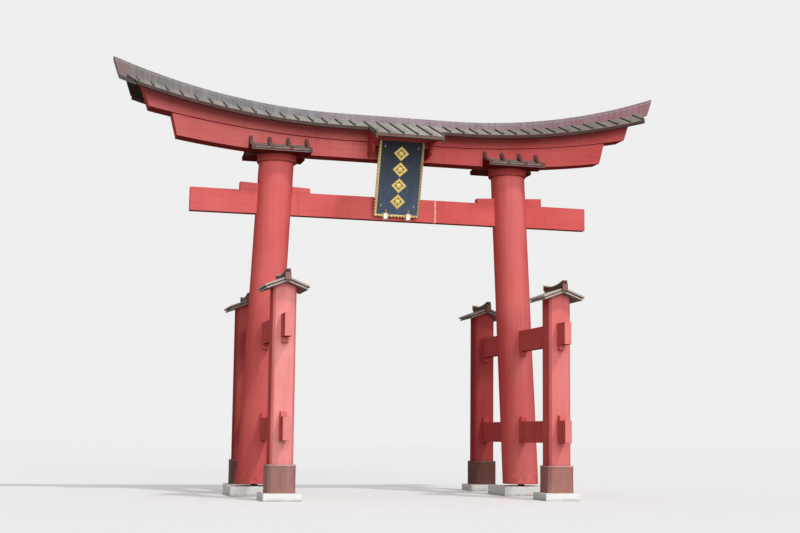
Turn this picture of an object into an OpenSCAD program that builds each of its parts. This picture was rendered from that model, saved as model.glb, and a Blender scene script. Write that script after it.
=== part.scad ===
// Gateway of a shrine: two leaning main pillars, four square sub-pillars, curved
// double lintel under a sheet copper roof, and a plaque under a roof of its own.
// Millimetres, +Z up, front faces -Y, origin on the ground midway between the main pillars.

/* [Main pillars] */
// Distance between the two main pillar axes at ground level
pillar_spacing = 7270; // [6800:10:7600]
// Radius of a main pillar at ground level
pillar_radius_base = 480; // [460:2:500]
// Radius of a main pillar at lean_height above the ground
pillar_radius_top = 463; // [420:1:470]
// How far each main pillar axis leans inwards at lean_height
pillar_lean = 366; // [200:2:420]
// Height of the foot of a main pillar above the ground
pillar_foot = 300; // [280:5:360]
// Side of a main pillar's base stone
main_stone_side = 1400; // [1200:10:1500]
// Height of a main pillar's base stone
main_stone_height = 245; // [200:5:250]
// Radius of the dowel between stone and pillar
dowel_radius = 90; // [50:5:150]

/* [Sub-pillars] */
// How far the sub-pillar rows stand inside the main pillar axes at ground level
sub_inset = 135; // [60:5:180]
// Distance of the sub-pillar axes in front of and behind the main pillars
sub_offset_y = 2924; // [2600:10:3200]
// Width of a square sub-pillar
sub_width = 565; // [500:1:600]
// Width of the flat on a sub-pillar's cut corners
sub_chamfer = 60; // [30:2:80]
// Side of a sub-pillar's base stone
sub_stone_side = 916; // [800:4:1000]
// Height of a sub-pillar's base stone
sub_stone_height = 186; // [150:2:200]
// Height above the ground of the top of a sub-pillar's metal sheath
sheath_top = 853; // [700:5:1000]
// Thickness of the metal sheath
sheath_thick = 60; // [30:1:75]

/* [Braces] */
// Height of the underside of the lower brace
lower_brace_z = 1411; // [1300:10:1500]
// Height of the underside of the upper brace
upper_brace_z = 3837; // [3700:10:3900]
// Height of both braces
brace_height = 556; // [500:4:600]
// Thickness of both braces
brace_thick = 175; // [140:5:200]
// How far a brace end stands out from a sub-pillar
brace_stub = 513; // [400:1:600]
// Height of the wedges that lock the braces
brace_wedge_height = 128; // [80:4:160]
// How far these wedges stand out in front of a pillar
brace_wedge_stub = 140; // [60:5:200]

/* [Cap roofs of the sub-pillars] */
// Height of the underside of a cap roof at its ridge line
cap_z = 5145; // [5000:5:5300]
// Half width of a cap roof's upper layer
cap_half_x = 540; // [480:5:600]
// Half length of a cap roof's upper layer
cap_half_y = 570; // [480:5:640]
// Fall of a cap roof per unit of width
cap_fall = 0.39; // [0.3:0.01:0.5]
// Half length of the ridge on a cap roof
cap_ridge_half = 670; // [640:10:760]
// Width of the ridge on a cap roof
cap_ridge_width = 125; // [90:5:150]

/* [Tie beam] */
// Clear height between the tie beam and the lower lintel
strut_height = 994; // [900:2:1080]
// Height of the tie beam
tie_height = 618; // [560:2:640]
// Thickness of the tie beam
tie_thick = 224; // [180:4:260]
// Half length of the tie beam
tie_half = 5487; // [5200:5:5700]
// Place of the joint between its two lengths
tie_joint_x = 1140; // [1000:10:1300]
// Height of the wedge at its tall outer end
tie_wedge_outer = 214; // [160:2:230]
// Height of the wedge at its low inner end
tie_wedge_inner = 128; // [100:2:150]

/* [Lintels] */
// Height of the underside of the lower lintel at the middle
lintel_z = 8895; // [8800:5:9000]
// Height of the lower lintel at the middle
lower_lintel_height = 455; // [400:5:500]
// Height of the upper lintel at the middle, carried up to the ridge line of the roof surface
upper_lintel_height = 642; // [620:1:670]
// Thickness of the lower lintel
lower_lintel_thick = 500; // [440:5:540]
// Half length of the lower lintel along its top
lower_lintel_half = 6030; // [5800:10:6200]
// Thickness of the upper lintel
upper_lintel_thick = 570; // [545:5:620]
// Half length of the upper lintel at its top
upper_lintel_half = 6834; // [6700:2:6880]
// Radius of a capital ring
ring_radius = 520; // [500:5:580]
// Height of a capital ring under the lower lintel
ring_height = 235; // [195:5:295]

/* [Roof] */
// Fall of the roof per unit of depth
roof_fall = 0.4; // [0.38:0.01:0.42]
// Distance of the eave from the ridge line
eave_y = 840; // [800:5:900]
// Half length of the roof at the ridge line
roof_half_top = 7260; // [7200:10:7300]
// Half length of the roof at the eave
roof_half_eave = 7010; // [6950:10:7080]
// Thickness of the roof deck
deck_thick = 60; // [40:2:70]
// Height of the eave boards, which cover the edge of the deck
board_height = 112; // [95:1:130]
// Thickness of the eave boards
board_thick = 60; // [40:2:80]
// Distance between roof battens
batten_pitch = 376; // [364:1:388]
// Width of a roof batten
batten_width = 44; // [30:2:60]
// Height of a roof batten above the sheet
batten_height = 38; // [20:2:50]
// Width of the ridge box
ridge_thick = 400; // [340:10:460]
// Height of the ridge box above the ridge line of the roof at the middle
ridge_rise = 134; // [110:2:160]
// Size of the cut along both upper edges of the ridge box
ridge_cut = 80; // [40:5:110]
// Half length of the ridge box along its top
ridge_half = 7560; // [7450:10:7600]
// How far the ends of the ridge box lean outwards per unit of height
ridge_lean = 0.34; // [0.25:0.01:0.4]

/* [Plaque] */
// Width of the plaque over its frame
plaque_width = 1260; // [1200:10:1300]
// Length of the plaque along its slope
plaque_length = 2120; // [2080:5:2130]
// Forward lean of the plaque in degrees
plaque_lean = 16; // [15:0.5:17]
// Width of the frame around the plaque
frame_width = 70; // [60:2:90]
// Distance of the eave of its roof from the ridge line
plaque_roof_y = 1600; // [1550:10:1650]

/* [Hoods over the capital rings] */
// Half width of a hood
hood_half = 800; // [760:5:860]
// Distance of the hood eave from the middle plane
hood_y = 850; // [800:5:900]
// Width of a rib on a hood
rib_width = 110; // [80:5:130]

/* [Hidden] */
// pillars
lean_height = 8000;
lean_angle = atan(pillar_lean / lean_height);
main_x = pillar_spacing / 2;
sub_offset_x = main_x - sub_inset;
main_half = pillar_radius_base - 20;
top_x = main_x - pillar_lean * lintel_z / lean_height;

// braces: play at the sides of a wedge
wedge_play = 10;
brace_reach = sub_offset_y + sub_width + brace_stub;

// cap roofs
cap_layer = 62;
cap_step = 40;
cap_reach = 2 * cap_half_x;
cap_top = cap_z + 2 * cap_layer;
cap_ridge_rise = 100;
cap_ridge_radius = 2700;
cap_ridge_sunk = 40;
cap_ridge_back = 60;
cap_plate_width = 150;
cap_plate_thick = 45;
cap_plate_drop = 95;

// tie beam, with the reach of a wedge outside and inside the pillar axis
tie_top = lintel_z - strut_height;
tie_z = tie_top - tie_height;
wedge_out = 965;
wedge_in = 900;
wedge_slant = 50;
strut_width = 360;
strut_thick = 180;

// curves of the long beams and roof: half length of the straight middle, and radius
under_flat = 2000;
under_radius = 25000;
lintel_flat = 1240;
lintel_radius = 27000;
roof_flat = 1610;
roof_radius = 19380;
ridge_flat = 1551;
ridge_radius = 17364;
lower_lintel_lean = 0.246;
upper_lintel_lean = 0.327;

// roof; tips are cut level a little below the end of their arc, and cuts reach clear of them
roof_tilt = atan(roof_fall);
tilt_cos = cos(roof_tilt);
ring_z = lintel_z - ring_height;
lower_top_z = lintel_z + lower_lintel_height;
roof_z = lower_top_z + upper_lintel_height;
tip_cut = 4;
cut_reach = 2 * (ridge_rise + rise(ridge_half, ridge_flat, ridge_radius));
ridge_hang = 100;
ridge_top_z = roof_z + ridge_rise;
ridge_under_z = roof_z - roof_fall * ridge_thick / 2 - ridge_hang;
batten_sunk = 20;
batten_end = 45;
batten_end_rise = 14;
batten_over = 6;
batten_play = 0.2;
batten_count = floor((roof_half_eave - batten_width) / batten_pitch + 0.5);

// plaque and the roof over it, whose verges carry the third battens from the middle
plaque_thick = 80;
plaque_recess = 30;
plaque_foot_y = 270;
plaque_foot_rise = 69;
plaque_foot_z = tie_z + plaque_foot_rise;
scallop = 45;
scallop_depth = 14;
verge_count = 2;
verge_inset = 8;
plaque_roof_half = (verge_count + 0.5) * batten_pitch;
plaque_roof_back = 500;
plaque_board_z = roof_z - roof_fall * plaque_roof_y - board_height;
roof_low_z = plaque_board_z - 3 * board_height;
verge_board = 50;
ear_width = 80;
ear_drop = 60;
cheek_x = 790;
cheek_thick = 60;
cheek_rise = 35;
cheek_z = lintel_z + cheek_rise;
cheek_lip = 70;
nose_radius = 140;
arm_drop = 100;
arm_z = lower_top_z - arm_drop;
rail_width = 120;
rail_front_width = 160;
rail_thick = 60;
rail_lap = 85;
foot_x = 312;
foot_width = 120;
foot_thick = 130;
foot_drop = 60;
foot_back = 40;
foot_plate = 25;
foot_plate_top = 105;
foot_plate_side = 30;
foot_point = 75;
tongue_width = 56;
tongue_length = 135;
tongue_proud = 20;
tongue_gap = 5;
fitting_x = 455;
fitting_low = 300;
fitting_high = 240;
fitting_radius = 21;
fitting_between = 48;
fitting_thick = 24;

// hoods: sheet and ribs are arcs from the lintel down to the eave; all heights are counted
// from the underside of the lower lintel
hood_under_drop = 45;
hood_step_drop = 15;
hood_edge_rise = 72;
hood_top_rise = 258;
rib_edge_rise = 85;
rib_top_rise = 440;
hood_under_z = lintel_z - hood_under_drop;
hood_step_z = lintel_z - hood_step_drop;
hood_edge_z = lintel_z + hood_edge_rise;
hood_top_z = lintel_z + hood_top_rise;
hood_turn = 30;
hood_step = 25;
rib_edge_z = lintel_z + rib_edge_rise;
rib_top_z = lintel_z + rib_top_rise;
rib_turn = 40;
rib_over = 20;
rib_nose = 58;
rib_nose_rise = 8;
ring_gap = 3;

red = [0.74, 0.28, 0.25];
grey = [0.56, 0.54, 0.56];
copper = [0.42, 0.33, 0.32];

// shared shapes

// how far an arched line has risen at a distance x from the middle
function rise(x, flat, radius) =
  abs(x) > flat ? radius - sqrt(pow(radius, 2) - pow(abs(x) - flat, 2)) : 0;

// flat region above a line that is straight in the middle and bends up in arcs
module above(base, flat, radius) {
  translate([-flat, base]) square([2 * flat, 2 * radius]);
  for (s = [-1, 1])
    translate([s * flat, base + radius]) circle(r = radius, $fn = 3600);
}

// long beam with an arched underside and top, its ends leaning outwards up to a level tip
module arched_beam(z0, flat0, radius0, z1, flat1, radius1, thick, half, lean, high) {
  half_low = half - lean * (high - z0 + thick);
  translate([0, thick / 2, 0]) rotate([90, 0, 0])
    linear_extrude(thick)
      difference() {
        intersection() {
          polygon([[-half_low, z0 - thick], [half_low, z0 - thick], [half, high], [-half, high]]);
          above(z0, flat0, radius0);
        }
        above(z1, flat1, radius1);
      }
}

// slab along an arched surface that falls to the front, between a depth below it and a
// height above it, both measured square to it; z is the level of the surface at y = 0
module slope_slab(depth, height = 0, z = roof_z, fall = roof_fall, flat = roof_flat,
    radius = roof_radius) {
  tilt = atan(fall);
  rotate([90 + tilt, 0, 0])
    translate([0, 0, -z * sin(tilt) - plaque_roof_y / 2])
      linear_extrude(2.5 * plaque_roof_y)
        difference() {
          above(z * cos(tilt) - depth, flat, radius / cos(tilt));
          above(z * cos(tilt) + height, flat, radius / cos(tilt));
        }
}

function roof_level(x) = roof_z * tilt_cos + rise(x, roof_flat, roof_radius / tilt_cos);
function roof_turn(x) = abs(x) > roof_flat ?
  sign(x) * asin((abs(x) - roof_flat) * tilt_cos / roof_radius) : 0;

// bar straight down the front roof surface, let into the deck, with a thicker end on the board
module batten(x, from_y, eave) {
  start = from_y / tilt_cos;
  board = (eave - board_thick) / tilt_cos;
  end = eave / tilt_cos;
  rotate([90 + roof_tilt, 0, 0])
    translate([x, roof_level(x), -roof_level(x) * roof_fall])
      rotate([0, 0, roof_turn(x)])
        translate([-batten_width / 2, 0, 0]) rotate([90, 0, 90]) linear_extrude(batten_width)
          polygon([[-batten_sunk, start], [batten_height, start],
            [batten_height, end - batten_end], [batten_height + batten_end_rise, end - batten_end],
            [batten_height + batten_end_rise, end + batten_over], [batten_play, end + batten_over],
            [batten_play, board], [-batten_sunk, board]]);
}

// place of a batten; the one at the verge of the plaque's roof stands just inside it
function batten_x(i) =
  (i + 0.5) * batten_pitch - (i == verge_count ? batten_width / 2 + verge_inset : 0);

module chamfered_post(width, cut, z0, z1) {
  a = width / 2;
  b = a - cut;
  translate([0, 0, z0]) linear_extrude(z1 - z0)
    polygon([[-a, -b], [-b, -a], [b, -a], [a, -b], [a, b], [b, a], [-b, a], [-a, b]]);
}

module at_subs() {
  for (sx = [-1, 1], sy = [-1, 1])
    translate([sx * sub_offset_x, sy * sub_offset_y, 0]) children();
}

// base

module main_stones() color([0.72, 0.70, 0.66])
  for (s = [-1, 1])
    translate([s * main_x - main_stone_side / 2, -main_stone_side / 2, 0])
      cube([main_stone_side, main_stone_side, main_stone_height]);

module sub_stones() color([0.72, 0.70, 0.66])
  at_subs()
    translate([-sub_stone_side / 2, -sub_stone_side / 2, 0])
      cube([sub_stone_side, sub_stone_side, sub_stone_height]);

module pillar_dowels() color([0.12, 0.11, 0.10])
  for (s = [-1, 1])
    translate([s * main_x, 0, main_stone_height])
      cylinder(r = dowel_radius, h = pillar_foot - main_stone_height, $fn = 48);

// main pillars

module pillar_body(s) {
  length = ring_z + pillar_radius_base;
  taper = (pillar_radius_base - pillar_radius_top) / lean_height;
  intersection() {
    translate([s * main_x, 0, 0]) rotate([0, -s * lean_angle, 0])
      cylinder(r1 = pillar_radius_base, r2 = pillar_radius_base - taper * length, h = length, $fn = 96);
    translate([s * main_x - main_stone_side, -main_stone_side, pillar_foot])
      cube([2 * main_stone_side, 2 * main_stone_side, ring_z - pillar_foot]);
  }
}

module brace_bars() {
  for (z = [lower_brace_z, upper_brace_z], sx = [-1, 1])
    translate([sx * sub_offset_x - brace_thick / 2, -brace_reach, z])
      cube([brace_thick, 2 * brace_reach, brace_height]);
}

module main_pillar(s) {
  difference() {
    pillar_body(s);
    brace_bars();
    wedge_row(upper_brace_z - brace_wedge_height, false);
    wedge_row(lower_brace_z + brace_height, false);
    translate([-tie_half, -tie_thick / 2, tie_z]) cube([2 * tie_half, tie_thick, tie_height]);
    tie_wedge(s);
  }
}
module main_pillar_left() color(red) main_pillar(-1);
module main_pillar_right() color(red) main_pillar(1);

// sub-pillars

// everything above the underside of a cap roof
module cap_under() {
  rotate([90, 0, 0]) translate([0, 0, -cap_reach]) linear_extrude(2 * cap_reach)
    polygon([[-cap_reach, cap_z - cap_fall * cap_reach], [0, cap_z],
      [cap_reach, cap_z - cap_fall * cap_reach], [cap_reach, cap_z + cap_reach],
      [-cap_reach, cap_z + cap_reach]]);
}

module sub_pillar(sx, sy) {
  difference() {
    translate([sx * sub_offset_x, sy * sub_offset_y, 0])
      difference() {
        chamfered_post(sub_width, sub_chamfer, sub_stone_height, cap_z);
        cap_under();
      }
    brace_bars();
    wedge_row(upper_brace_z - brace_wedge_height, false);
    wedge_row(lower_brace_z + brace_height, false);
  }
}
module sub_pillar_front_left() color(red) sub_pillar(-1, -1);
module sub_pillar_front_right() color(red) sub_pillar(1, -1);
module sub_pillar_rear_left() color(red) sub_pillar(-1, 1);
module sub_pillar_rear_right() color(red) sub_pillar(1, 1);

module base_sheaths() color(copper)
  at_subs()
    difference() {
      chamfered_post(sub_width + 2 * sheath_thick, sub_chamfer + sheath_thick / 4,
        sub_stone_height, sheath_top);
      chamfered_post(sub_width, sub_chamfer, 0, 2 * sheath_top);
    }

// braces and their wedges

module brace(sx, z) color(red)
  translate([sx * sub_offset_x - brace_thick / 2, -sub_offset_y - sub_width / 2 - brace_stub, z])
    cube([brace_thick, 2 * sub_offset_y + sub_width + 2 * brace_stub, brace_height]);
module lower_brace_left() brace(-1, lower_brace_z);
module lower_brace_right() brace(1, lower_brace_z);
module upper_brace_left() brace(-1, upper_brace_z);
module upper_brace_right() brace(1, upper_brace_z);

module wedge_row(z, stub = true) {
  w = brace_thick - 2 * wedge_play;
  for (sx = [-1, 1]) {
    for (sy = [-1, 1])
      translate([sx * sub_offset_x - w / 2,
        sy * sub_offset_y - sub_width / 2 - brace_wedge_stub, z])
        cube([w, sub_width + brace_wedge_stub, brace_wedge_height]);
    translate([sx * sub_offset_x - w / 2, -main_half - brace_wedge_stub, z])
      cube([w, 2 * main_half + brace_wedge_stub, brace_wedge_height]);
  }
}
module lower_brace_wedges() color(red) wedge_row(lower_brace_z + brace_height);
module upper_brace_wedges() color(red) wedge_row(upper_brace_z - brace_wedge_height);

// cap roofs

module cap_layer_shape(half_x, half_y, drop) {
  t = cap_layer;
  translate([0, half_y, 0]) rotate([90, 0, 0]) linear_extrude(2 * half_y)
    polygon([[-half_x, drop - cap_fall * half_x], [0, drop], [half_x, drop - cap_fall * half_x],
      [half_x, drop + t - cap_fall * half_x], [0, drop + t], [-half_x, drop + t - cap_fall * half_x]]);
}

module cap_roofs() color(grey)
  at_subs() {
    cap_layer_shape(cap_half_x - cap_step, cap_half_y - cap_step, cap_z);
    cap_layer_shape(cap_half_x, cap_half_y, cap_z + cap_layer);
  }

// saddle ridge, which stands a little back on the roof, with a plate against each gable
module cap_ridges() color(copper)
  at_subs() {
    difference() {
      translate([-cap_ridge_width / 2, cap_ridge_back, 0])
        rotate([90, 0, 90]) linear_extrude(cap_ridge_width)
          difference() {
            intersection() {
              translate([-cap_ridge_half, cap_z]) square([2 * cap_ridge_half, cap_reach]);
              translate([0, cap_top - cap_ridge_sunk + 1.1 * cap_ridge_radius])
                circle(r = 1.1 * cap_ridge_radius, $fn = 360);
            }
            translate([0, cap_top + cap_ridge_rise + cap_ridge_radius])
              circle(r = cap_ridge_radius, $fn = 360);
          }
      translate([0, cap_half_y, 0]) rotate([90, 0, 0]) linear_extrude(2 * cap_half_y)
        polygon([[-cap_reach, 0], [cap_reach, 0], [cap_reach, cap_top - cap_fall * cap_reach],
          [0, cap_top], [-cap_reach, cap_top - cap_fall * cap_reach]]);
    }
    for (s = [-1, 1])
      translate([-cap_plate_width / 2, s * (cap_half_y + cap_plate_thick / 2) - cap_plate_thick / 2,
        cap_top - cap_plate_drop])
        cube([cap_plate_width, cap_plate_thick, cap_plate_drop + cap_ridge_rise]);
  }

// tie beam

module tie_beam_long() color(red)
  translate([-tie_half, -tie_thick / 2, tie_z])
    cube([tie_half + tie_joint_x, tie_thick, tie_height]);
module tie_beam_short() color(red)
  translate([tie_joint_x, -tie_thick / 2, tie_z])
    cube([tie_half - tie_joint_x, tie_thick, tie_height]);

module tie_wedge(s) {
  outer = top_x + wedge_out;
  inner = top_x - wedge_in;
  translate([0, tie_thick / 2, 0]) rotate([90, 0, 0]) linear_extrude(tie_thick)
    polygon([[s * inner, tie_top], [s * (outer + wedge_slant), tie_top],
      [s * outer, tie_top + tie_wedge_outer], [s * inner, tie_top + tie_wedge_inner]]);
}
module tie_wedges() color(red)
  for (s = [-1, 1]) tie_wedge(s);

module centre_strut() color(red)
  translate([-strut_width / 2, -strut_thick / 2, tie_top])
    cube([strut_width, strut_thick, lintel_z - tie_top]);

// capital rings

module ring_solid(s) {
  difference() {
    translate([s * top_x, 0, ring_z]) cylinder(r = ring_radius, $fn = 96,
      h = lintel_z + rise(top_x + ring_radius, under_flat, under_radius) - ring_gap - ring_z);
    translate([0, 2 * ring_radius, 0]) rotate([90, 0, 0]) linear_extrude(4 * ring_radius)
      above(lintel_z, under_flat, under_radius);
  }
}
module capital_rings() color(red)
  for (s = [-1, 1]) ring_solid(s);

// lintels

module lower_lintel() color(red)
  arched_beam(lintel_z, under_flat, under_radius, lower_top_z, lintel_flat, lintel_radius,
    lower_lintel_thick, lower_lintel_half, lower_lintel_lean,
    lower_top_z + rise(lower_lintel_half, lintel_flat, lintel_radius) - tip_cut);

module upper_lintel() color(red)
  difference() {
    arched_beam(lower_top_z, lintel_flat, lintel_radius, roof_z + deck_thick, roof_flat, roof_radius,
      upper_lintel_thick, upper_lintel_half, upper_lintel_lean,
      roof_z - deck_thick / tilt_cos + rise(upper_lintel_half, roof_flat, roof_radius) - tip_cut);
    for (m = [0, 1]) mirror([0, m, 0]) slope_slab(deck_thick, cut_reach);
  }

// main roof

// plan of the front half of the roof, between two distances from the ridge line
module roof_plan(far) {
  low = roof_half_top - (roof_half_top - roof_half_eave) * far / eave_y;
  translate([0, 0, roof_low_z])
    linear_extrude(roof_z + rise(roof_half_top, roof_flat, roof_radius) - tip_cut - roof_low_z)
      polygon([[-low, -far], [low, -far], [roof_half_top, 0], [-roof_half_top, 0]]);
}

module roof_slope() {
  intersection() {
    slope_slab(deck_thick);
    roof_plan(eave_y - board_thick);
  }
  for (i = [0 : batten_count - 1], s = [-1, 1])
    batten(s * batten_x(i), ridge_thick / 2, eave_y);
}

// part of the front slope that runs on over the plaque
module over_plaque() {
  translate([-plaque_roof_half, -2 * plaque_roof_y, roof_low_z])
    cube([2 * plaque_roof_half, 2 * plaque_roof_y - plaque_roof_back, cut_reach]);
}
module roof_front() color(grey)
  difference() {
    roof_slope();
    over_plaque();
  }
module roof_rear() color(grey) mirror([0, 1, 0]) roof_slope();

// board along the eave, its top flush with the roof
module eave_board() {
  edge_z = roof_z - roof_fall * eave_y;
  low = edge_z - board_height;
  high = edge_z + rise(roof_half_eave, roof_flat, roof_radius) - tip_cut;
  difference() {
    translate([0, board_thick - eave_y, 0]) rotate([90, 0, 0]) linear_extrude(board_thick)
      intersection() {
        translate([-roof_half_eave, low - board_height])
          square([2 * roof_half_eave, high - low + board_height]);
        above(low, roof_flat, roof_radius);
      }
    slope_slab(0, cut_reach);
  }
}
module eave_board_front() color(copper)
  difference() {
    eave_board();
    over_plaque();
  }
module eave_board_rear() color(copper) mirror([0, 1, 0]) eave_board();

module ridge_box() color(grey)
  difference() {
    arched_beam(ridge_under_z, roof_flat, roof_radius, ridge_top_z, ridge_flat, ridge_radius,
      ridge_thick, ridge_half + 10, ridge_lean,
      ridge_top_z + rise(ridge_half, ridge_flat, ridge_radius));
    for (m = [0, 1]) mirror([0, m, 0]) {
      intersection() {
        slope_slab(ridge_thick);
        roof_plan(eave_y);
      }
      slope_slab(0, ridge_thick, ridge_top_z - ridge_cut + ridge_thick / 2, 1, ridge_flat,
        ridge_radius);
    }
  }

// roof over the plaque

module plaque_roof() color(grey)
  intersection() {
    union() {
      intersection() {
        slope_slab(deck_thick);
        translate([-plaque_roof_half, board_thick - plaque_roof_y, roof_low_z])
          cube([2 * plaque_roof_half, plaque_roof_y, cut_reach]);
      }
      for (i = [0 : verge_count], s = [-1, 1])
        batten(s * batten_x(i), ridge_thick / 2, plaque_roof_y);
    }
    over_plaque();
  }

// eave board with ears at both ends, and boards under the verges
module plaque_roof_board() color(copper) {
  difference() {
    union() {
      translate([-plaque_roof_half, -plaque_roof_y, plaque_board_z])
        cube([2 * plaque_roof_half, board_thick, 2 * board_height]);
      for (s = [-1, 1])
        translate([s * (plaque_roof_half - ear_width / 2) - ear_width / 2, -plaque_roof_y,
          plaque_board_z - ear_drop])
          cube([ear_width, board_thick, ear_drop + board_height]);
    }
    slope_slab(0, cut_reach);
  }
  for (s = [-1, 1])
    difference() {
      translate([s * (plaque_roof_half - verge_board / 2) - verge_board / 2, 0, 0])
        rotate([90, 0, 90]) linear_extrude(verge_board)
          polygon([[-eave_y, roof_z], [board_thick - plaque_roof_y, roof_z],
            [board_thick - plaque_roof_y, plaque_board_z + roof_fall * board_thick],
            [-eave_y, roof_z - roof_fall * eave_y - board_height]]);
      slope_slab(deck_thick, cut_reach);
    }
}

// curved brackets that carry the roof over the plaque: a lobe on the lintels and an arm above it
module plaque_cheeks() color(red)
  for (s = [-1, 1])
    difference() {
      nose_y = nose_radius - hood_y;
      translate([s * cheek_x - cheek_thick / 2, 0, 0]) rotate([90, 0, 90])
        linear_extrude(cheek_thick) {
          polygon([[-lower_lintel_thick / 2, cheek_z], [-lower_lintel_thick / 2, lower_top_z],
            [-upper_lintel_thick / 2, lower_top_z], [-upper_lintel_thick / 2, roof_z],
            [board_thick - plaque_roof_y, roof_z], [board_thick - plaque_roof_y, arm_z],
            [nose_y, arm_z], [nose_y, cheek_z + cheek_lip]]);
          translate([nose_y, cheek_z + cheek_lip + nose_radius]) circle(r = nose_radius, $fn = 96);
        }
      slope_slab(deck_thick, cut_reach);
    }

// two rails between the brackets: one behind the plaque, one before its upper edge
module plaque_rail() color(red)
  difference() {
    on_plaque() {
      inside = cheek_x - cheek_thick / 2;
      translate([-inside, plaque_length - 2 * rail_width, -plaque_thick - rail_thick])
        cube([2 * inside, rail_width, rail_thick]);
      translate([-inside, plaque_length - rail_lap, 0])
        cube([2 * inside, rail_front_width, rail_thick]);
    }
    slope_slab(deck_thick, cut_reach);
  }

// plaque

module on_plaque() {
  translate([0, -plaque_foot_y, plaque_foot_z]) rotate([90 + plaque_lean, 0, 0]) children();
}

// row of discs along one side of the frame, which give it a wavy edge
module scallop_row(length) {
  count = round(length / (2 * scallop));
  step = (length - 2 * scallop) / (count - 1);
  for (i = [0 : count - 1]) translate([scallop + i * step, scallop]) circle(r = scallop, $fn = 48);
}

module plaque_frame() color([0.80, 0.66, 0.36])
  on_plaque() translate([-plaque_width / 2, 0, -plaque_thick])
    linear_extrude(plaque_thick)
      difference() {
        union() {
          translate([scallop_depth, scallop_depth])
            square([plaque_width - 2 * scallop_depth, plaque_length - 2 * scallop_depth]);
          scallop_row(plaque_width);
          translate([0, plaque_length]) mirror([0, 1]) scallop_row(plaque_width);
          translate([2 * scallop, 0]) rotate(90) scallop_row(plaque_length);
          translate([plaque_width, 0]) rotate(90) scallop_row(plaque_length);
        }
        translate([frame_width, frame_width])
          square([plaque_width - 2 * frame_width, plaque_length - 2 * frame_width]);
      }

module plaque_board() color([0.16, 0.18, 0.24])
  on_plaque()
    translate([frame_width - plaque_width / 2, frame_width, -plaque_thick])
      cube([plaque_width - 2 * frame_width, plaque_length - 2 * frame_width,
        plaque_thick - plaque_recess]);

// four upright metal studs on the board
module plaque_fittings() color([0.80, 0.66, 0.36])
  on_plaque()
    for (s = [-1, 1], y = [fitting_low, plaque_length - fitting_high])
      translate([s * fitting_x, y, -plaque_recess]) linear_extrude(fitting_thick) {
        translate([-fitting_radius, -fitting_between / 2])
          square([2 * fitting_radius, fitting_between]);
        for (e = [-1, 1])
          translate([0, e * fitting_between / 2]) circle(r = fitting_radius, $fn = 48);
      }

// feet that carry the plaque from the tie beam, each with a pointed plate and a tongue
module plaque_supports() color([0.80, 0.66, 0.36])
  for (s = [-1, 1])
    difference() {
      union() {
        translate([s * foot_x - foot_width / 2, -plaque_foot_y - foot_back, plaque_foot_z - foot_drop])
          cube([foot_width, plaque_foot_y + foot_back - tie_thick / 2, foot_thick]);
        on_plaque() translate([s * foot_x, 0, 0]) {
          linear_extrude(foot_plate)
            polygon([[-foot_width / 2, foot_plate_top], [foot_width / 2, foot_plate_top],
              [foot_width / 2, -foot_plate_side], [0, -foot_point],
              [-foot_width / 2, -foot_plate_side]]);
          translate([-tongue_width / 2, frame_width + tongue_gap, -plaque_recess])
            cube([tongue_width, tongue_length, plaque_recess + tongue_proud]);
        }
      }
      on_plaque() translate([-plaque_width / 2, 0, -plaque_thick]) {
        cube([plaque_width, frame_width, plaque_thick]);
        cube([plaque_width, 2 * tongue_length + frame_width, plaque_thick - plaque_recess]);
      }
    }

// hoods over the rings

function arc_radius(a, b, turn) = norm(b - a) / 2 / sin(turn / 2);
function arc_centre(a, b, turn) =
  (a + b) / 2 + norm(b - a) / 2 / tan(turn / 2) * [b[1] - a[1], a[0] - b[0]] / norm(b - a);

// hollow side of an arc that sags between two points
module under_arc(a, b, turn) {
  difference() {
    polygon([[a[0], hood_under_z], a, [b[0], a[1]], [b[0], hood_under_z]]);
    translate(arc_centre(a, b, turn)) circle(r = arc_radius(a, b, turn), $fn = 256);
  }
}

module hood(s) {
  back = -lower_lintel_thick / 2;
  rib_end = hood_y + rib_over;
  difference() {
    translate([s * top_x - hood_half, 0, 0]) rotate([90, 0, 90]) {
      linear_extrude(2 * hood_half)
        difference() {
          under_arc([back, hood_top_z], [-hood_y, hood_edge_z], hood_turn);
          translate([-hood_y - hood_step, hood_under_z - hood_step])
            square([2 * hood_step, hood_step_z - hood_under_z + hood_step]);
        }
      for (i = [0 : 3])
        translate([0, 0, i * (2 * hood_half - rib_width) / 3])
          linear_extrude(rib_width) {
            difference() {
              under_arc([back, rib_top_z], [-rib_end, rib_edge_z], rib_turn);
              translate([-hood_y, hood_under_z - hood_step])
                square([hood_y, hood_step_z - hood_under_z + hood_step]);
              translate([-rib_end - hood_step, hood_under_z - hood_step])
                square([rib_nose + hood_step, rib_top_z - hood_under_z]);
            }
            translate([rib_nose - rib_end, rib_edge_z + rib_nose_rise - rib_nose])
              circle(r = rib_nose, $fn = 64);
          }
    }
    ring_solid(s);
  }
}
module ring_hoods_front() color(copper)
  for (s = [-1, 1]) hood(s);
module ring_hoods_rear() color(copper)
  mirror([0, 1, 0]) for (s = [-1, 1]) hood(s);

// output

main_stones();
sub_stones();
pillar_dowels();
main_pillar_left();
main_pillar_right();
sub_pillar_front_left();
sub_pillar_front_right();
sub_pillar_rear_left();
sub_pillar_rear_right();
base_sheaths();
lower_brace_left();
lower_brace_right();
upper_brace_left();
upper_brace_right();
lower_brace_wedges();
upper_brace_wedges();
cap_roofs();
cap_ridges();
tie_beam_long();
tie_beam_short();
tie_wedges();
centre_strut();
capital_rings();
lower_lintel();
upper_lintel();
ring_hoods_front();
ring_hoods_rear();
roof_front();
roof_rear();
eave_board_front();
eave_board_rear();
ridge_box();
plaque_roof();
plaque_roof_board();
plaque_cheeks();
plaque_rail();
plaque_board();
plaque_frame();
plaque_fittings();
plaque_supports();
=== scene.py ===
import math
import bpy
import numpy as np
from mathutils import Matrix


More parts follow.
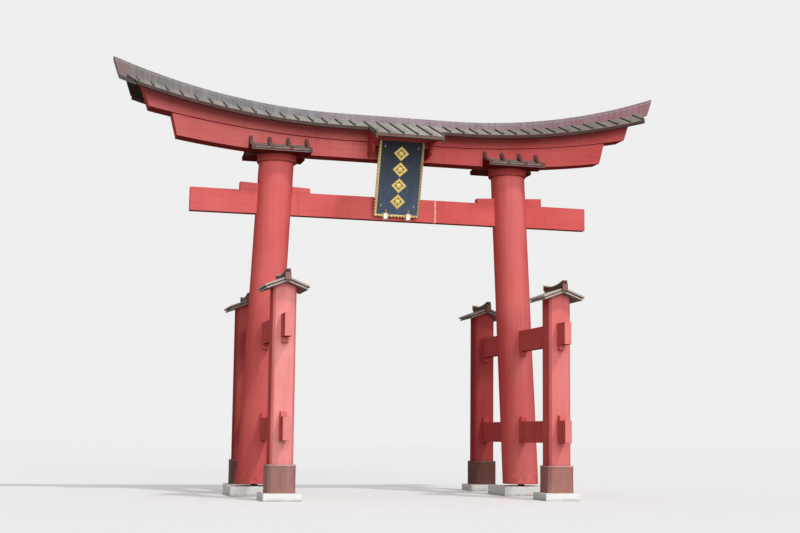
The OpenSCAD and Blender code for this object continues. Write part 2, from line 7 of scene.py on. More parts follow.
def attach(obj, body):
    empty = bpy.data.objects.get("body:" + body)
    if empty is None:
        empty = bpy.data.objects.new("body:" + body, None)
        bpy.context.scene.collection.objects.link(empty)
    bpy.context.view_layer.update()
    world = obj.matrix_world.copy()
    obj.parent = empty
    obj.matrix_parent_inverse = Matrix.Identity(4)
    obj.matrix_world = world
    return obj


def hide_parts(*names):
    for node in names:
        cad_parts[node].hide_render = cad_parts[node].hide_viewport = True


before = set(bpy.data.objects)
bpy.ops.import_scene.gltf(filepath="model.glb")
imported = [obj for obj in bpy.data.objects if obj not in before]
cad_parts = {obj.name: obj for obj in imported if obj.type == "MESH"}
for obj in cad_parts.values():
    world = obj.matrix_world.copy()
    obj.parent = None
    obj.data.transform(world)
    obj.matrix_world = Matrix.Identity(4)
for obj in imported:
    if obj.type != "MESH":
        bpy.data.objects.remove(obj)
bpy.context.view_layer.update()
print("frame loaded:", len(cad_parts), "nodes")

# sizes that several pieces share, in metres
gate = {
    "pillarX": 3.635,        # main pillar axes at the ground
    "pillarLean": 0.04575,   # inward lean per metre of height
    "subX": 3.5,
    "subY": 2.924,
    "subHalf": 0.2825,       # half width of a square sub-pillar
    "lowBrace": 1.411,
    "highBrace": 3.837,
    "braceHeight": 0.556,
    "tieLevel": 7.283,
    "tieTop": 7.901,
    "lintelLevel": 8.895,
    "jointLevel": 9.35,      # top of the lower lintel at the middle
    "roofLevel": 9.992,      # roof surface on its ridge line
    "roofFall": 0.4,
    "eave": 0.84,
    "plaqueEave": 1.6,
    "pitch": 0.376,          # between roof battens
}
tiltCos = math.cos(math.atan(gate["roofFall"]))
ringX = gate["pillarX"] - gate["pillarLean"] * gate["lintelLevel"]
leftRight = ((-1, "left"), (1, "right"))
frontRear = ((-1, "front"), (1, "rear"))
corners = [(a * gate["subX"], b * gate["subY"]) for a in (-1, 1) for b in (-1, 1)]

# curves of the long lines: half length of the straight middle, radius of the upswept ends
lintelUnder = (2.0, 25.0)
lintelJoint = (1.24, 27.0)
roofCurve = (1.61, 19.38)
ridgeCurve = (1.551, 17.364)


def rise(x, flat, radius):
    # 0 along the straight middle, then radius - sqrt(radius^2 - (|x| - flat)^2)
    out = np.maximum(np.abs(x) - flat, 0.0)
    return radius - np.sqrt(radius ** 2 - out ** 2)


def upswept(base, curve, add=0.0):
    # level along x: base plus the curve's rise
    return lambda x: base + add + rise(x, *curve)


def roofPoint(x, t, lift, side):
    # level + rise(x) - fall * t at the depth t in front of the ridge line, with the rise taken square
    # to the slope, then moved by lift along the normal (-dz/dx, side * fall, 1)
    x, t, lift = np.broadcast_arrays(x, t, lift)
    flat, radius = roofCurve
    radius = radius / tiltCos
    out = np.maximum(np.abs(x) - flat, 0.0)
    root = np.sqrt(radius ** 2 - out ** 2)
    height = gate["roofLevel"] + (radius - root) / tiltCos - gate["roofFall"] * t
    normal = np.stack([-np.sign(x) * out / root / tiltCos, side * gate["roofFall"] + 0 * x, 1 + 0 * x], -1)
    normal /= np.linalg.norm(normal, axis=-1, keepdims=True)
    return np.stack([x, side * t, height], -1) + lift[..., None] * normal


def underRoof(t, lift):
    # level along x of the roof surface at the depth t, moved by lift
    return lambda x: roofPoint(x, t, lift, -1)[..., 2]


# shells: a grid of points (rings, points round a ring, 3), closed round each ring and at both ends

def tubeFaces(rows, cols, loop=False):
    # quad (i, j) joins points j and j + 1 of ring i to those of ring i + 1
    i, j = np.meshgrid(np.arange(rows if loop else rows - 1), np.arange(cols), indexing="ij")
    here, after, beside = i * cols, (i + 1) % rows * cols, (j + 1) % cols
    quads = np.stack([here + j, here + beside, after + beside, after + j], -1).reshape(-1, 4)
    if loop:
        return quads
    # each end is a strip: quad k joins points k and k + 1 to the two that face them
    k = np.arange(cols // 2 - 1)
    strip = np.stack([k, k + 1, cols - 2 - k, cols - 1 - k], -1)
    return np.concatenate([quads, strip[:, ::-1], strip + (rows - 1) * cols])


def shell(rings, mark=None, loop=False):
    # turns the faces outwards by the sign of the volume, sum of a . (b x c) over the triangles
    rows, cols = rings.shape[:2]
    points, quads = rings.reshape(-1, 3), tubeFaces(rows, cols, loop)
    a, b, c, d = (points[quads[:, k]] for k in range(4))
    volume = (a * (np.cross(b, c) + np.cross(c, d))).sum()
    mark = np.zeros((rows, cols)) if mark is None else mark
    return points, quads if volume > 0 else quads[:, ::-1], np.broadcast_to(mark, (rows, cols)).reshape(-1)


def shells(stack, mark=None):
    # one shell for each first index of a stack of like rings
    return [shell(rings, mark) for rings in stack]


def makePiece(name, parts, material, nodes=(), sharp=38):
    # one mesh of all parts; down and front say how far a point faces down or forwards, 0 to 1
    starts = np.cumsum([0] + [len(p[0]) for p in parts[:-1]])
    points = np.concatenate([p[0] for p in parts])
    quads = np.concatenate([p[1] + s for p, s in zip(parts, starts)])
    mesh = bpy.data.meshes.new(name)
    mesh.vertices.add(len(points))
    mesh.vertices.foreach_set("co", points.astype(np.float32).ravel())
    mesh.loops.add(quads.size)
    mesh.loops.foreach_set("vertex_index", quads.astype(np.int32).ravel())
    mesh.polygons.add(len(quads))
    mesh.polygons.foreach_set("loop_start", np.arange(0, quads.size, 4, dtype=np.int32))
    mesh.update(calc_edges=True)
    mesh.validate()
    normals = np.empty(len(points) * 3, np.float32)
    mesh.vertex_normals.foreach_get("vector", normals)
    fields = {"mark": np.concatenate([p[2] for p in parts]), "down": np.clip(-normals[2::3], 0, 1),
              "front": np.clip(-normals[1::3], 0, 1)}
    for field, values in fields.items():
        mesh.attributes.new(field, "FLOAT", "POINT").data.foreach_set("value", values.astype(np.float32))
    mesh.shade_smooth()
    mesh.set_sharp_from_angle(angle=math.radians(sharp))
    mesh.materials.append(material)
    piece = bpy.data.objects.new(name, mesh)
    bpy.context.scene.collection.objects.link(piece)
    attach(piece, "root")
    if nodes:
        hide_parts(*nodes)


def dress(node, material):
    # a CAD node that stays gets its finish in its material slots
    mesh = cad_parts[node].data
    mesh.materials.clear()
    mesh.materials.append(material)


def cornerOffsets(fillet, cut, turns):
    # inward offsets of a corner's points from its two sides, and their marks: fillet * (1 - cos, 1 - sin)
    # over a quarter turn, or a straight cut with both its edges eased by the fillet
    if cut:
        near = fillet * np.array([0, 0.18, 0.71])
        far = cut + fillet * np.array([1, 0.07, -0.71])
        flat = cut * np.array([0.3, 0.7])
        marks = np.array([1, 1, 1, 0, 0, 1, 1, 1.0])
        return np.r_[near, flat, far[::-1]], np.r_[far, flat[::-1], near[::-1]], marks
    turn = np.linspace(0, math.pi / 2, turns + 1)
    return fillet * (1 - np.cos(turn)), fillet * (1 - np.sin(turn)), np.ones(turns + 1)


def barRings(along, halfWide, under, top, fillet, cuts=(0, 0), turns=3, band=0.012, lean=0, tip=0):
    # bar with eased edges, as rings (t, across, up): a rectangle from under(t) to top(t), its corners
    # rounded or cut; the end rings shrink by fillet * (1 - cos) while they move out by fillet * sin,
    # and a last ring on each end face keeps the mark to its rim. Ends lean as
    # t = s * (half - lean * (tip - up)). The mark is 1 on the edges and 0 a band away.
    low = under if callable(under) else lambda t: under + 0 * t
    high = top if callable(top) else lambda t: top + 0 * t
    sizes = [c + fillet for c in cuts]
    room = min(2 * halfWide, (high(along) - low(along)).min()) / 2 - max(sizes)
    band = max(min(band, 0.8 * room), 0.0005)
    order = [(0, 1, -1), (1, 1, 1), (1, -1, -1), (0, -1, 1)]     # which corner, side across, direction
    columns = []
    for k, s, d in order:
        a, b, edgeMark = cornerOffsets(fillet, cuts[k], turns)
        one, reach = np.ones(len(a) + 2), sizes[k] + band
        columns.append(np.stack([np.r_[0, a, reach][::d], np.r_[reach, b, 0][::d], np.r_[0, 0 * a + 1, 0],
                                 np.r_[0, edgeMark, 0][::d], sizes[k] * one, s * one, k * one]))
    acrossIn, upIn, corner, edgeMark, size, side, isTop = np.concatenate(columns, 1)

    theta = np.linspace(0, math.pi / 2, turns + 1)
    out, inset = fillet * (1 - np.sin(theta)), fillet * (1 - np.cos(theta))
    first, last = along[0], along[-1]
    gap = min(fillet + band, 0.45 * (last - first))
    inner = along[(along > first + gap + 0.001) & (along < last - gap - 0.001)]
    face = fillet + 0.6 * band
    t = np.r_[first, first + out[::-1], first + gap, inner, last - gap, last - out, last]
    e = np.r_[face, inset[::-1], 0, 0 * inner, 0, inset, face][:, None]
    ends = np.r_[0, 0 * out + 1, 0, 0 * inner, 0, 0 * out + 1, 0][:, None]
    rim = np.r_[0, np.ones(len(t) - 2), 0][:, None]

    shrink = np.maximum(size - e, 0.05 * size) / size
    across = np.where(corner > 0, e + acrossIn * shrink, np.where(acrossIn == 0, e, acrossIn))
    up = np.where(corner > 0, e + upIn * shrink, np.where(upIn == 0, e, upIn))
    x = t[:, None] + 0 * up
    half = max(abs(first), abs(last))
    share = x / half
    # a leaning end's place depends on its level and the level on the place: a few rounds settle both
    for _ in range(5):
        level = np.where(isTop > 0, high(x) - up, low(x) + up)
        if not lean:
            break
        x = share * (half - lean * (tip - level))
    return np.stack([x, side * (halfWide - across), level], -1), np.maximum(edgeMark * rim, ends) + 0 * x


def bar(ends, count, halfWide, under, top, fillet, axis="x", shift=(0, 0, 0), edgeMark=1.0, mark=None, **shape):
    # a bar's (t, across, up) become x, y, z along the axis that it runs on; edgeMark scales its mark,
    # which the paints show as pale edges and the copper sheets as painted shade
    rings, edges = barRings(np.linspace(*ends, count), halfWide, under, top, fillet, **shape)
    order = {"x": [0, 1, 2], "y": [1, 0, 2], "z": [1, 2, 0]}[axis]
    return shell(rings[..., order] + np.array(shift), edges * edgeMark if mark is None else mark)


def block(low, high, fillet=0.008, axis="z", steps=2):
    # box with eased edges between two corners
    t, a, b = {"x": (0, 1, 2), "y": (1, 0, 2), "z": (2, 0, 1)}[axis]
    shift = np.zeros(3)
    shift[a] = (low[a] + high[a]) / 2
    return bar((low[t], high[t]), steps, (high[a] - low[a]) / 2, low[b], high[b], fillet, axis, shift)


def revolved(radius, level, sides, centreX=0.0, wobble=0.0):
    # circle of radius(i) at level(i), its centre at centreX(i); wobble adds faint hand-cut facets
    turn = np.arange(sides) * 2 * math.pi / sides
    radius, level = np.asarray(radius, float)[:, None], np.asarray(level, float)[:, None]
    r = radius + wobble * (np.sin(5 * turn + 1.7 * level) + np.sin(11 * turn - 0.9 * level)) * (radius > 0.4)
    x = np.asarray(centreX, float).reshape(-1, 1) + r * np.cos(turn)
    return np.stack([x, r * np.sin(turn), level + 0 * turn], -1)


def domes(centres, radius, height, outward, sides=10):
    # low round heads: rings of radius * cos and height * sin of an angle, turned to face outward
    turn = np.arange(sides) * 2 * math.pi / sides
    angle = np.array([0, 0, 0.7, 1.25])
    ring = radius * np.cos(angle)[:, None]
    lift = height * (np.sin(angle) + np.array([-0.3, 0, 0, 0]))
    across = np.cross(outward, [0, 0, 1.0])
    across = across / np.linalg.norm(across, axis=-1, keepdims=True)
    upward = np.cross(across, outward)
    shape = (centres[:, None, None] + (ring * np.cos(turn))[None, ..., None] * across[:, None, None]
             + (ring * np.sin(turn))[None, ..., None] * upward[:, None, None]
             + lift[None, :, None, None] * outward[:, None, None])
    return shells(shape)


# materials; colours are written as they look on screen, 0 to 255

def linear(colour):
    # v / 12.92 for the darkest and ((v + 0.055) / 1.055)^2.4 above them, with v from 0 to 1
    v = np.array(colour) / 255
    return (*np.where(v < 0.04, v / 12.92, ((v + 0.055) / 1.055) ** 2.4), 1.0)


class Finish:
    # short names for the nodes of one material
    def __init__(self, name, metallic=0.0, gloss=0.5):
        self.material = bpy.data.materials.new(name)
        self.material.use_nodes = True
        self.tree = self.material.node_tree
        self.shader = self.tree.nodes["Principled BSDF"]
        self.shader.inputs["Metallic"].default_value = metallic
        self.shader.inputs["Specular IOR Level"].default_value = gloss
        self.place = self.tree.nodes.new("ShaderNodeTexCoord").outputs["Object"]
        fields = [self.add("ShaderNodeAttribute", attribute_name=key) for key in ("mark", "down", "front")]
        self.mark, self.down, self.front = (node.outputs["Fac"] for node in fields)

    def add(self, kind, inputs=None, **settings):
        node = self.tree.nodes.new(kind)
        for key, value in settings.items():
            setattr(node, key, value)
        for key, value in (inputs or {}).items():
            self.feed(node.inputs[key], value)
        return node

    def feed(self, socket, value):
        if isinstance(value, bpy.types.NodeSocket):
            self.tree.links.new(value, socket)
        else:
            socket.default_value = value

    def stretched(self, x, y, z):
        return self.add("ShaderNodeMapping", {"Vector": self.place, "Scale": (x, y, z)}).outputs["Vector"]

    def noise(self, scale, detail=3.0, vector=None, rough=0.5):
        inputs = {"Vector": vector or self.place, "Scale": scale, "Detail": detail, "Roughness": rough}
        return self.add("ShaderNodeTexNoise", inputs).outputs["Fac"]

    def spread(self, value, low, high, toLow=0.0, toHigh=1.0):
        inputs = {"Value": value, "From Min": low, "From Max": high, "To Min": toLow, "To Max": toHigh}
        return self.add("ShaderNodeMapRange", inputs).outputs["Result"]

    def patches(self, scale, detail, low, high, toLow=0.0, toHigh=1.0, vector=None, rough=0.5):
        return self.spread(self.noise(scale, detail, vector, rough), low, high, toLow, toHigh)

    def calc(self, operation, a, b=0.0):
        return self.add("ShaderNodeMath", {0: a, 1: b}, operation=operation).outputs["Value"]

    def times(self, a, b):
        return self.calc("MULTIPLY", a, b)

    def along(self, axis, low, high, toLow=0.0, toHigh=1.0):
        place = self.add("ShaderNodeSeparateXYZ", {"Vector": self.place}).outputs[axis]
        return self.spread(place, low, high, toLow, toHigh)

    def ramp(self, value, stops):
        # stops give a colour for each place between 0 and 1
        node = self.add("ShaderNodeValToRGB", {"Fac": value})
        elements = node.color_ramp.elements
        for place in sorted(stops)[1:-1]:
            elements.new(place)
        for element, place in zip(elements, sorted(stops)):
            element.position, element.color = place, linear(stops[place])
        return node.outputs["Color"]

    def mix(self, share, a, b, blend="MIX"):
        # a colour of three numbers is one on screen, one of four is linear light
        node = self.add("ShaderNodeMix", {"Factor": share}, data_type="RGBA", blend_type=blend)
        for socket, value in zip([s for s in node.inputs if s.type == "RGBA"], (a, b)):
            onScreen = isinstance(value, tuple) and len(value) == 3
            self.feed(socket, linear(value) if onScreen else value)
        return [s for s in node.outputs if s.type == "RGBA"][0]

    def finish(self, colour, roughness, height=None, strength=0.3, distance=0.004):
        self.feed(self.shader.inputs["Base Color"], colour)
        self.feed(self.shader.inputs["Roughness"], roughness)
        if height is not None:
            bump = self.add("ShaderNodeBump", {"Height": height, "Strength": strength, "Distance": distance})
            self.feed(self.shader.inputs["Normal"], bump.outputs["Normal"])
        return self.material


# paintedLight is a paler colour for painted light on sunny front faces; under is the painted shade colour;
# edge is the colour of pale edges, wear with a painted highlight
paintLook = {
    "fresh": (208, 82, 81), "faded": (222, 103, 101), "deep": (170, 54, 51), "paintedLight": (252, 166, 162),
    "edge": (236, 142, 136), "dirt": (116, 56, 48), "under": (116, 36, 30), "gloss": 0.0,
    "dirtTop": 0.9, "tips": (-3.2, -3.5), "rear": (0.7, 2.4),     # where dirt ends, and where painted light and painted shade begin
}


def paint(name, grain, shade=0.0, paintedLight=(0.0, 0.0), ends=0.0, rear=0.0):
    # old vermilion paint: slow patches, faint streaks along the grain, pale edges (wear with a painted
    # highlight), painted shade on undersides, dirt near the ground. Painted light pales the front faces by
    # the first share of paintedLight at the left pillars and by the second at the right ones, and by ends at
    # the front tips; rear is how much painted shade darkens it behind, and shade how much painted shade it
    # takes
    look = paintLook
    f = Finish(name, gloss=look["gloss"])
    grain = f.stretched(*grain)
    colour = f.mix(f.patches(0.5, 4.0, 0.35, 0.65), look["fresh"], look["faded"])
    if max(paintedLight) > 0:
        # painted light: paler colour on faces that look forwards, more at the left, at the front tips, less
        # behind
        share = f.along("X", -gate["subX"], gate["subX"], *paintedLight)
        if ends:
            share = f.calc("ADD", share, f.along("Y", *look["tips"], 0, ends))
        share = f.times(share, f.patches(0.8, 4.0, 0.3, 0.7, 0.75, 1.2))
        share = f.times(share, f.spread(f.front, 0.5, 0.95))
        colour = f.mix(f.times(share, f.along("Y", *look["rear"], 1, 0.25)), colour, look["paintedLight"])
    colour = f.mix(f.patches(14.0, 5.0, 0.5, 0.8, 0, 0.22, grain), colour, look["deep"])
    colour = f.mix(f.patches(2.2, 4.0, 0.56, 0.78, 0, 0.25, f.stretched(3, 3, 0.25)), colour, look["deep"])
    low = f.along("Z", 0.25, look["dirtTop"], 1, 0)
    colour = f.mix(f.times(low, f.patches(7.0, 6.0, 0.4, 0.75, 0, 0.5)), colour, look["dirt"])
    # pale edges: wear, with a painted highlight along them
    colour = f.mix(f.times(f.mark, f.patches(9.0, 4.0, 0.3, 0.7, 0.05, 0.4)), colour, look["edge"])
    # painted shade on undersides; rear and shade below add more of it behind and in sheltered parts
    colour = f.mix(f.times(f.down, 0.85), colour, look["under"])
    if rear:
        colour = f.mix(f.along("Y", *look["rear"], 0, rear), colour, look["under"])
    if shade:
        colour = f.mix(shade, colour, look["under"])
    height = f.calc("ADD", f.noise(30.0, 6.0, grain), f.times(f.noise(3.0, 3.0, grain), 1.5))
    return f.finish(colour, f.patches(5.0, 4.0, 0.3, 0.7, 0.42, 0.6, grain), height, 0.18)


acrossGrain, alongGrain, uprightGrain = (1.0, 0.05, 1.0), (0.05, 1.0, 1.0), (1.0, 1.0, 0.05)
# paintedLight pales sunny fronts as painted light and rear darkens the back as painted shade; the ring takes
# painted shade for the hood over it, the shaded paint for the plaque's roof and the lintel cores
paintUpright = paint("vermilionUpright", uprightGrain, paintedLight=(0.1, 0.24))
paintPosts = paint("vermilionPosts", uprightGrain, paintedLight=(0.85, 0.4), rear=0.5)
paintAlong = paint("vermilionAlong", alongGrain, paintedLight=(0.12, 0.02))
paintLintel = paint("vermilionLintel", alongGrain, paintedLight=(0.28, 0.08))
paintBack = paint("vermilionThrough", acrossGrain, paintedLight=(0.04, 0.0), ends=0.6, rear=0.15)
paintRing = paint("vermilionRing", uprightGrain, shade=0.45)
paintShaded = paint("vermilionShaded", acrossGrain, shade=0.36)


def copper(name, stops, streak, bloom, blush, dark=(48, 38, 33), panel=0.0, rear=0.0, gloss=0.03):
    # weathered sheet: colour runs along x and each panel has its own tone; a green-grey bloom, a pink
    # blush and paler streaks lie over it; the dark colour is painted shade on undersides, where the mark is
    # 1, and by the share rear on the far side of the gate
    f = Finish(name, gloss=gloss)
    colour = f.ramp(f.along("X", -7.56, 7.56), stops)
    if panel:
        place = f.add("ShaderNodeSeparateXYZ", {"Vector": f.place}).outputs["X"]
        number = f.calc("FLOOR", f.calc("DIVIDE", place, panel))
        tone = f.add("ShaderNodeTexWhiteNoise", {"W": number}, noise_dimensions="1D").outputs["Value"]
        colour = f.mix(1.0, colour, f.spread(tone, 0, 1, 0.84, 1.1), "MULTIPLY")
        colour = f.mix(f.spread(f.calc("FRACT", f.times(tone, 7.0)), 0, 1, 0, 0.25), colour, blush)
    colour = f.mix(f.patches(3.0, 5.0, 0.45, 0.75, 0, 0.5, rough=0.6), colour, bloom)
    colour = f.mix(f.patches(1.7, 5.0, 0.5, 0.75, 0, 0.45, f.stretched(1, 1, 1.3), 0.6), colour, blush)
    streaks = f.noise(1.0, 4.0, f.stretched(*streak), 0.6)
    colour = f.mix(1.0, colour, f.spread(streaks, 0.3, 0.7, 0.84, 1.15), "MULTIPLY")
    paintedShade = f.calc("MAXIMUM", f.mark, f.times(f.down, 0.9))
    if rear:
        paintedShade = f.calc("MAXIMUM", paintedShade, f.along("Y", *paintLook["rear"], 0, rear))
    height = f.calc("ADD", f.noise(18.0, 4.0), f.calc("ADD", streaks, f.times(f.noise(4.0, 2.0), 2.0)))
    return f.finish(f.mix(paintedShade, colour, dark), f.patches(6.0, 5.0, 0.3, 0.7, 0.5, 0.7), height, 0.2)


down, upright = (6.0, 1.2, 1.2), (15.0, 15.0, 0.7)       # streaks on slopes and on sides, in waves a metre
sheetCopper = copper(
    "weatheredSheet", {0: (160, 150, 144), 0.2: (164, 161, 156), 0.55: (184, 180, 172), 0.72: (146, 136, 131),
                       0.86: (130, 121, 114), 1: (160, 153, 141)},
    down, (150, 153, 143), (152, 134, 129), panel=gate["pitch"])
ridgeCopper = copper(
    "ridgeSheet", {0: (150, 118, 117), 0.045: (130, 131, 128), 0.27: (146, 147, 150), 0.5: (168, 151, 160),
                   0.78: (152, 126, 131), 1: (165, 105, 113)},
    upright, (136, 137, 138), (146, 117, 121), (150, 147, 148), gate["pitch"] / 2)
boardCopper = copper(
    "boardSheet", {0: (95, 76, 70), 0.5: (97, 76, 72), 0.7: (86, 59, 57), 1: (83, 61, 55)},
    (2.5, 2.5, 2.5), (98, 80, 71), (95, 65, 61), gloss=0.0)
battenCopper = copper("battenSheet", {0: (150, 143, 138), 1: (146, 139, 130)}, down,
                      (172, 174, 162), (152, 124, 118), (58, 48, 43))
shelfCopper = copper("shelfSheet", {0: (122, 98, 89), 1: (122, 98, 89)}, (2.5, 2.5, 2.5),
                     (132, 120, 106), (120, 92, 82))
# the hoods' dark colour is a dark red painted shade, like the shaded lintel beside them; rear adds more
# behind
hoodCopper = copper("hoodSheet", {0: (138, 122, 112), 1: (134, 108, 98)}, (7.0, 2.0, 2.0),
                    (150, 150, 130), (136, 98, 92), (102, 36, 32), rear=0.3, gloss=0.0)
fasciaCopper = copper("fasciaSheet", {0: (164, 150, 146), 1: (162, 146, 144)}, (5.0, 5.0, 5.0),
                      (162, 162, 150), (156, 126, 122), (94, 34, 30), rear=0.5, gloss=0.0)
sheathCopper = copper("sheathSheet", {0: (160, 120, 117), 1: (176, 116, 103)}, (7.0, 7.0, 1.2),
                      (160, 132, 120), (172, 122, 124), (70, 46, 42), rear=0.7)
# pale trim: pale patina, with a painted highlight where its top edge catches the light
trimCopper = copper("trimSheet", {0: (232, 184, 176), 1: (216, 170, 160)}, (4.0, 4.0, 4.0),
                    (214, 190, 176), (206, 150, 140), (70, 46, 42), rear=0.7)
capRidgeCopper = copper("capRidgeSheet", {0: (158, 122, 114), 1: (140, 112, 102)}, (3.0, 3.0, 3.0),
                        (146, 130, 114), (156, 110, 104), (82, 52, 47), rear=0.5)
capCopper = copper("capSheet", {0: (190, 176, 166), 1: (204, 190, 182)}, (3.0, 1.0, 3.0),
                   (190, 184, 170), (190, 164, 158), (84, 64, 58), rear=0.55)


def granite():
    # fine pale grain, slow warm patches and damp along the foot
    f = Finish("paleGranite", gloss=0.1)
    speck = f.noise(160.0, 2.0)
    colour = f.ramp(speck, {0.3: (226, 226, 223), 0.45: (246, 246, 243), 0.62: (249, 249, 246)})
    colour = f.mix(f.patches(2.5, 5.0, 0.45, 0.75, 0, 0.2), colour, (226, 223, 214))
    damp = f.times(f.along("Z", 0.0, 0.09, 1, 0), f.patches(6.0, 5.0, 0.3, 0.7, 0.1, 0.7))
    colour = f.mix(damp, colour, (133, 129, 115))
    height = f.calc("ADD", f.noise(90.0, 4.0), f.noise(12.0, 5.0))
    return f.finish(colour, f.spread(speck, 0, 1, 0.7, 0.9), height, 0.35)


def gilt(name, base, worn):
    # gilding, brown where the mark is 1, and darker towards the plaque's right edge as painted shade
    f = Finish(name, metallic=0.15)
    colour = f.mix(f.patches(9.0, 5.0, 0.4, 0.7), base, worn)
    colour = f.mix(f.patches(60.0, 3.0, 0.62, 0.8, 0, 0.4), colour, (155, 111, 56))
    colour = f.mix(f.times(f.mark, 0.85), colour, (115, 83, 39))
    colour = f.mix(f.along("X", 0.4, 0.5, 0, 0.55), colour, (116, 84, 36))
    return f.finish(colour, f.patches(20.0, 4.0, 0.3, 0.7, 0.28, 0.48), f.noise(70.0, 4.0), 0.12, 0.002)


def lacquer():
    # blue-black board, near black up towards its top as painted shade under the plaque's roof, paler and
    # bluer towards its foot
    f = Finish("boardLacquer", gloss=0.2)
    stops = {0: (80, 95, 124), 0.35: (72, 85, 102), 0.75: (46, 53, 60), 1: (20, 24, 27)}
    grain = f.noise(20.0, 5.0, f.stretched(1, 0.05, 0.05))
    colour = f.mix(f.spread(grain, 0.45, 0.8, 0, 0.35), f.ramp(f.along("Z", 7.4, 9.4), stops), (34, 39, 52))
    colour = f.mix(f.patches(5.0, 6.0, 0.55, 0.8, 0, 0.3), colour, (115, 120, 131))
    return f.finish(colour, f.spread(grain, 0.3, 0.7, 0.36, 0.55), grain, 0.15, 0.003)


def mottled(name, base, patch, scales, rough, strength, metallic=0.0):
    # one colour with patches of another; scales are those of the patches, the roughness and the bump
    f = Finish(name, metallic)
    colour = f.mix(f.patches(scales[0], 5.0, 0.4, 0.7), base, patch)
    height = f.noise(scales[2], 4.0)
    return f.finish(colour, f.patches(scales[1], 3.0, 0.3, 0.7, *rough), height, strength, 0.002)


stone, boardLacquer = granite(), lacquer()
iron = mottled("darkIron", (34, 31, 30), (74, 54, 43), (24.0, 12.0, 60.0), (0.55, 0.8), 0.3, 0.4)
sealant = mottled("jointFiller", (241, 197, 184), (225, 157, 146), (12.0, 9.0, 40.0), (0.5, 0.7), 0.2)
frameGold = gilt("frameGold", (238, 208, 128), (236, 216, 160))
ornamentGold = gilt("ornamentGold", (245, 212, 100), (244, 222, 150))
footGold = gilt("footGold", (241, 241, 227), (241, 241, 177))
tongueGold = gilt("tongueGold", (166, 131, 72), (140, 107, 58))
fittingGold = gilt("fittingGold", (175, 166, 142), (210, 177, 100))
print("materials made")


# base stones

stones = {"mainHalf": 0.7, "mainHeight": 0.245, "subHalf": 0.458, "subHeight": 0.186, "edge": 0.014}
feet = [(s * gate["pillarX"], 0) for s in (-1, 1)]
for what, places in [("main", feet), ("sub", corners)]:
    half, height = stones[what + "Half"], stones[what + "Height"]
    makePiece(what + "Stones", [block((x - half, y - half, 0), (x + half, y + half, height), stones["edge"])
                                for x, y in places], stone, [what + "_stones"])

dowels = {"radius": 0.09, "low": 0.24, "high": 0.31, "sides": 32}
makePiece("pillarDowels", [shell(revolved([dowels["radius"]] * 2, [dowels["low"], dowels["high"]],
                                          dowels["sides"], x)) for x, _ in feet],
          iron, ["pillar_dowels"])


# main pillars

pillar = {"foot": 0.3, "top": 8.67, "baseRadius": 0.48, "taper": 0.002125, "footEase": 0.016, "sides": 112,
          "wobble": 0.0008}


def pillarShell(side):
    # radius falls by the taper per metre, axis leans inwards, foot edge eased
    inset = np.r_[pillar["footEase"] * np.array([1, 0.45, 0.12, 0]), np.zeros(61)]
    level = np.r_[pillar["foot"] + np.array([0, 0.12, 0.45, 1]) * pillar["footEase"],
                  pillar["foot"] + 0.05, np.linspace(0.5, pillar["top"], 60)]
    radius = pillar["baseRadius"] - pillar["taper"] * level - inset
    axis = side * (gate["pillarX"] - gate["pillarLean"] * level)
    # the eased foot edge is marked: pale edge colour, wear and a painted reflection of the pale stone
    mark = np.r_[1, 1, 1, 1, np.zeros(61)][:, None]
    return shell(revolved(radius, level, pillar["sides"], axis, pillar["wobble"]), mark)


for side, label in leftRight:
    makePiece("mainPillar_" + label, [pillarShell(side)], paintUpright, ["main_pillar_" + label])

ring = {"radius": 0.52, "inner": 0.4, "low": 8.66, "edge": 0.02, "flat": 0.06, "intoLintel": 0.09,
        "sides": 96}


def ringShell(side):
    # low drum with a rolled lower edge, up into the lintel's curved underside
    turn = np.linspace(0, math.pi / 2, 5)
    outer, high = ring["radius"], gate["lintelLevel"] + ring["intoLintel"] - ring["low"]
    radius = np.r_[ring["inner"], outer - ring["edge"] * (1 - np.sin(turn)), outer, outer]
    level = np.r_[0, ring["edge"] * (1 - np.cos(turn)), ring["flat"], high]
    return shell(revolved(radius, ring["low"] + level, ring["sides"], side * ringX),
                 np.r_[0, np.ones(5), 0, 0][:, None])


makePiece("capitalRings", [ringShell(s) for s in (-1, 1)], paintRing, ["capital_rings"])
print("pillars made")


# sub-pillars with their sheaths

post = {"cut": 0.06, "ease": 0.006, "low": 0.18, "high": 5.15}
for sy, where in frontRear:
    for sx, label in leftRight:
        shaft = bar((post["low"], post["high"]), 12, gate["subHalf"], -gate["subHalf"], gate["subHalf"],
                    post["ease"], "z", (sx * gate["subX"], sy * gate["subY"], 0), cuts=[post["cut"]] * 2)
        makePiece("subPillar_" + where + "_" + label, [shaft], paintPosts,
                  ["sub_pillar_" + where + "_" + label])

sheath = {"low": 0.188, "high": 0.853, "thick": 0.06, "cut": 0.075, "trim": 0.03, "proud": 0.004,
          "hem": 0.003, "lap": (0.05, 0.10), "nailGap": 0.09775, "nailIn": 0.055, "nailRadius": 0.008,
          "nailHeight": 0.005}
sheathHalf = gate["subHalf"] + sheath["thick"]


def sheathBand(x, y, low, high, grow, ease):
    # eight-sided band round a post: its half width is that of the sheath plus grow
    half = sheathHalf + grow
    return bar((low, high), 2, half, -half, half, ease, "z", (x, y, 0), 0, cuts=[sheath["cut"]] * 2)


def sheathShells(x, y):
    # sheet round the post, a flat hem at its foot and a lap seam on the inner face
    low, high, proud = sheath["low"], sheath["high"], sheath["proud"]
    seam = x - math.copysign(sheathHalf - proud, x)
    return [sheathBand(x, y, low, high, -proud, 0.004),
            sheathBand(x, y, low, low + sheath["trim"], sheath["hem"] - proud, 0.004),
            block((seam - proud, y + sheath["lap"][0], low),
                  (seam + proud, y + sheath["lap"][1], high - 0.01), 0.002)]


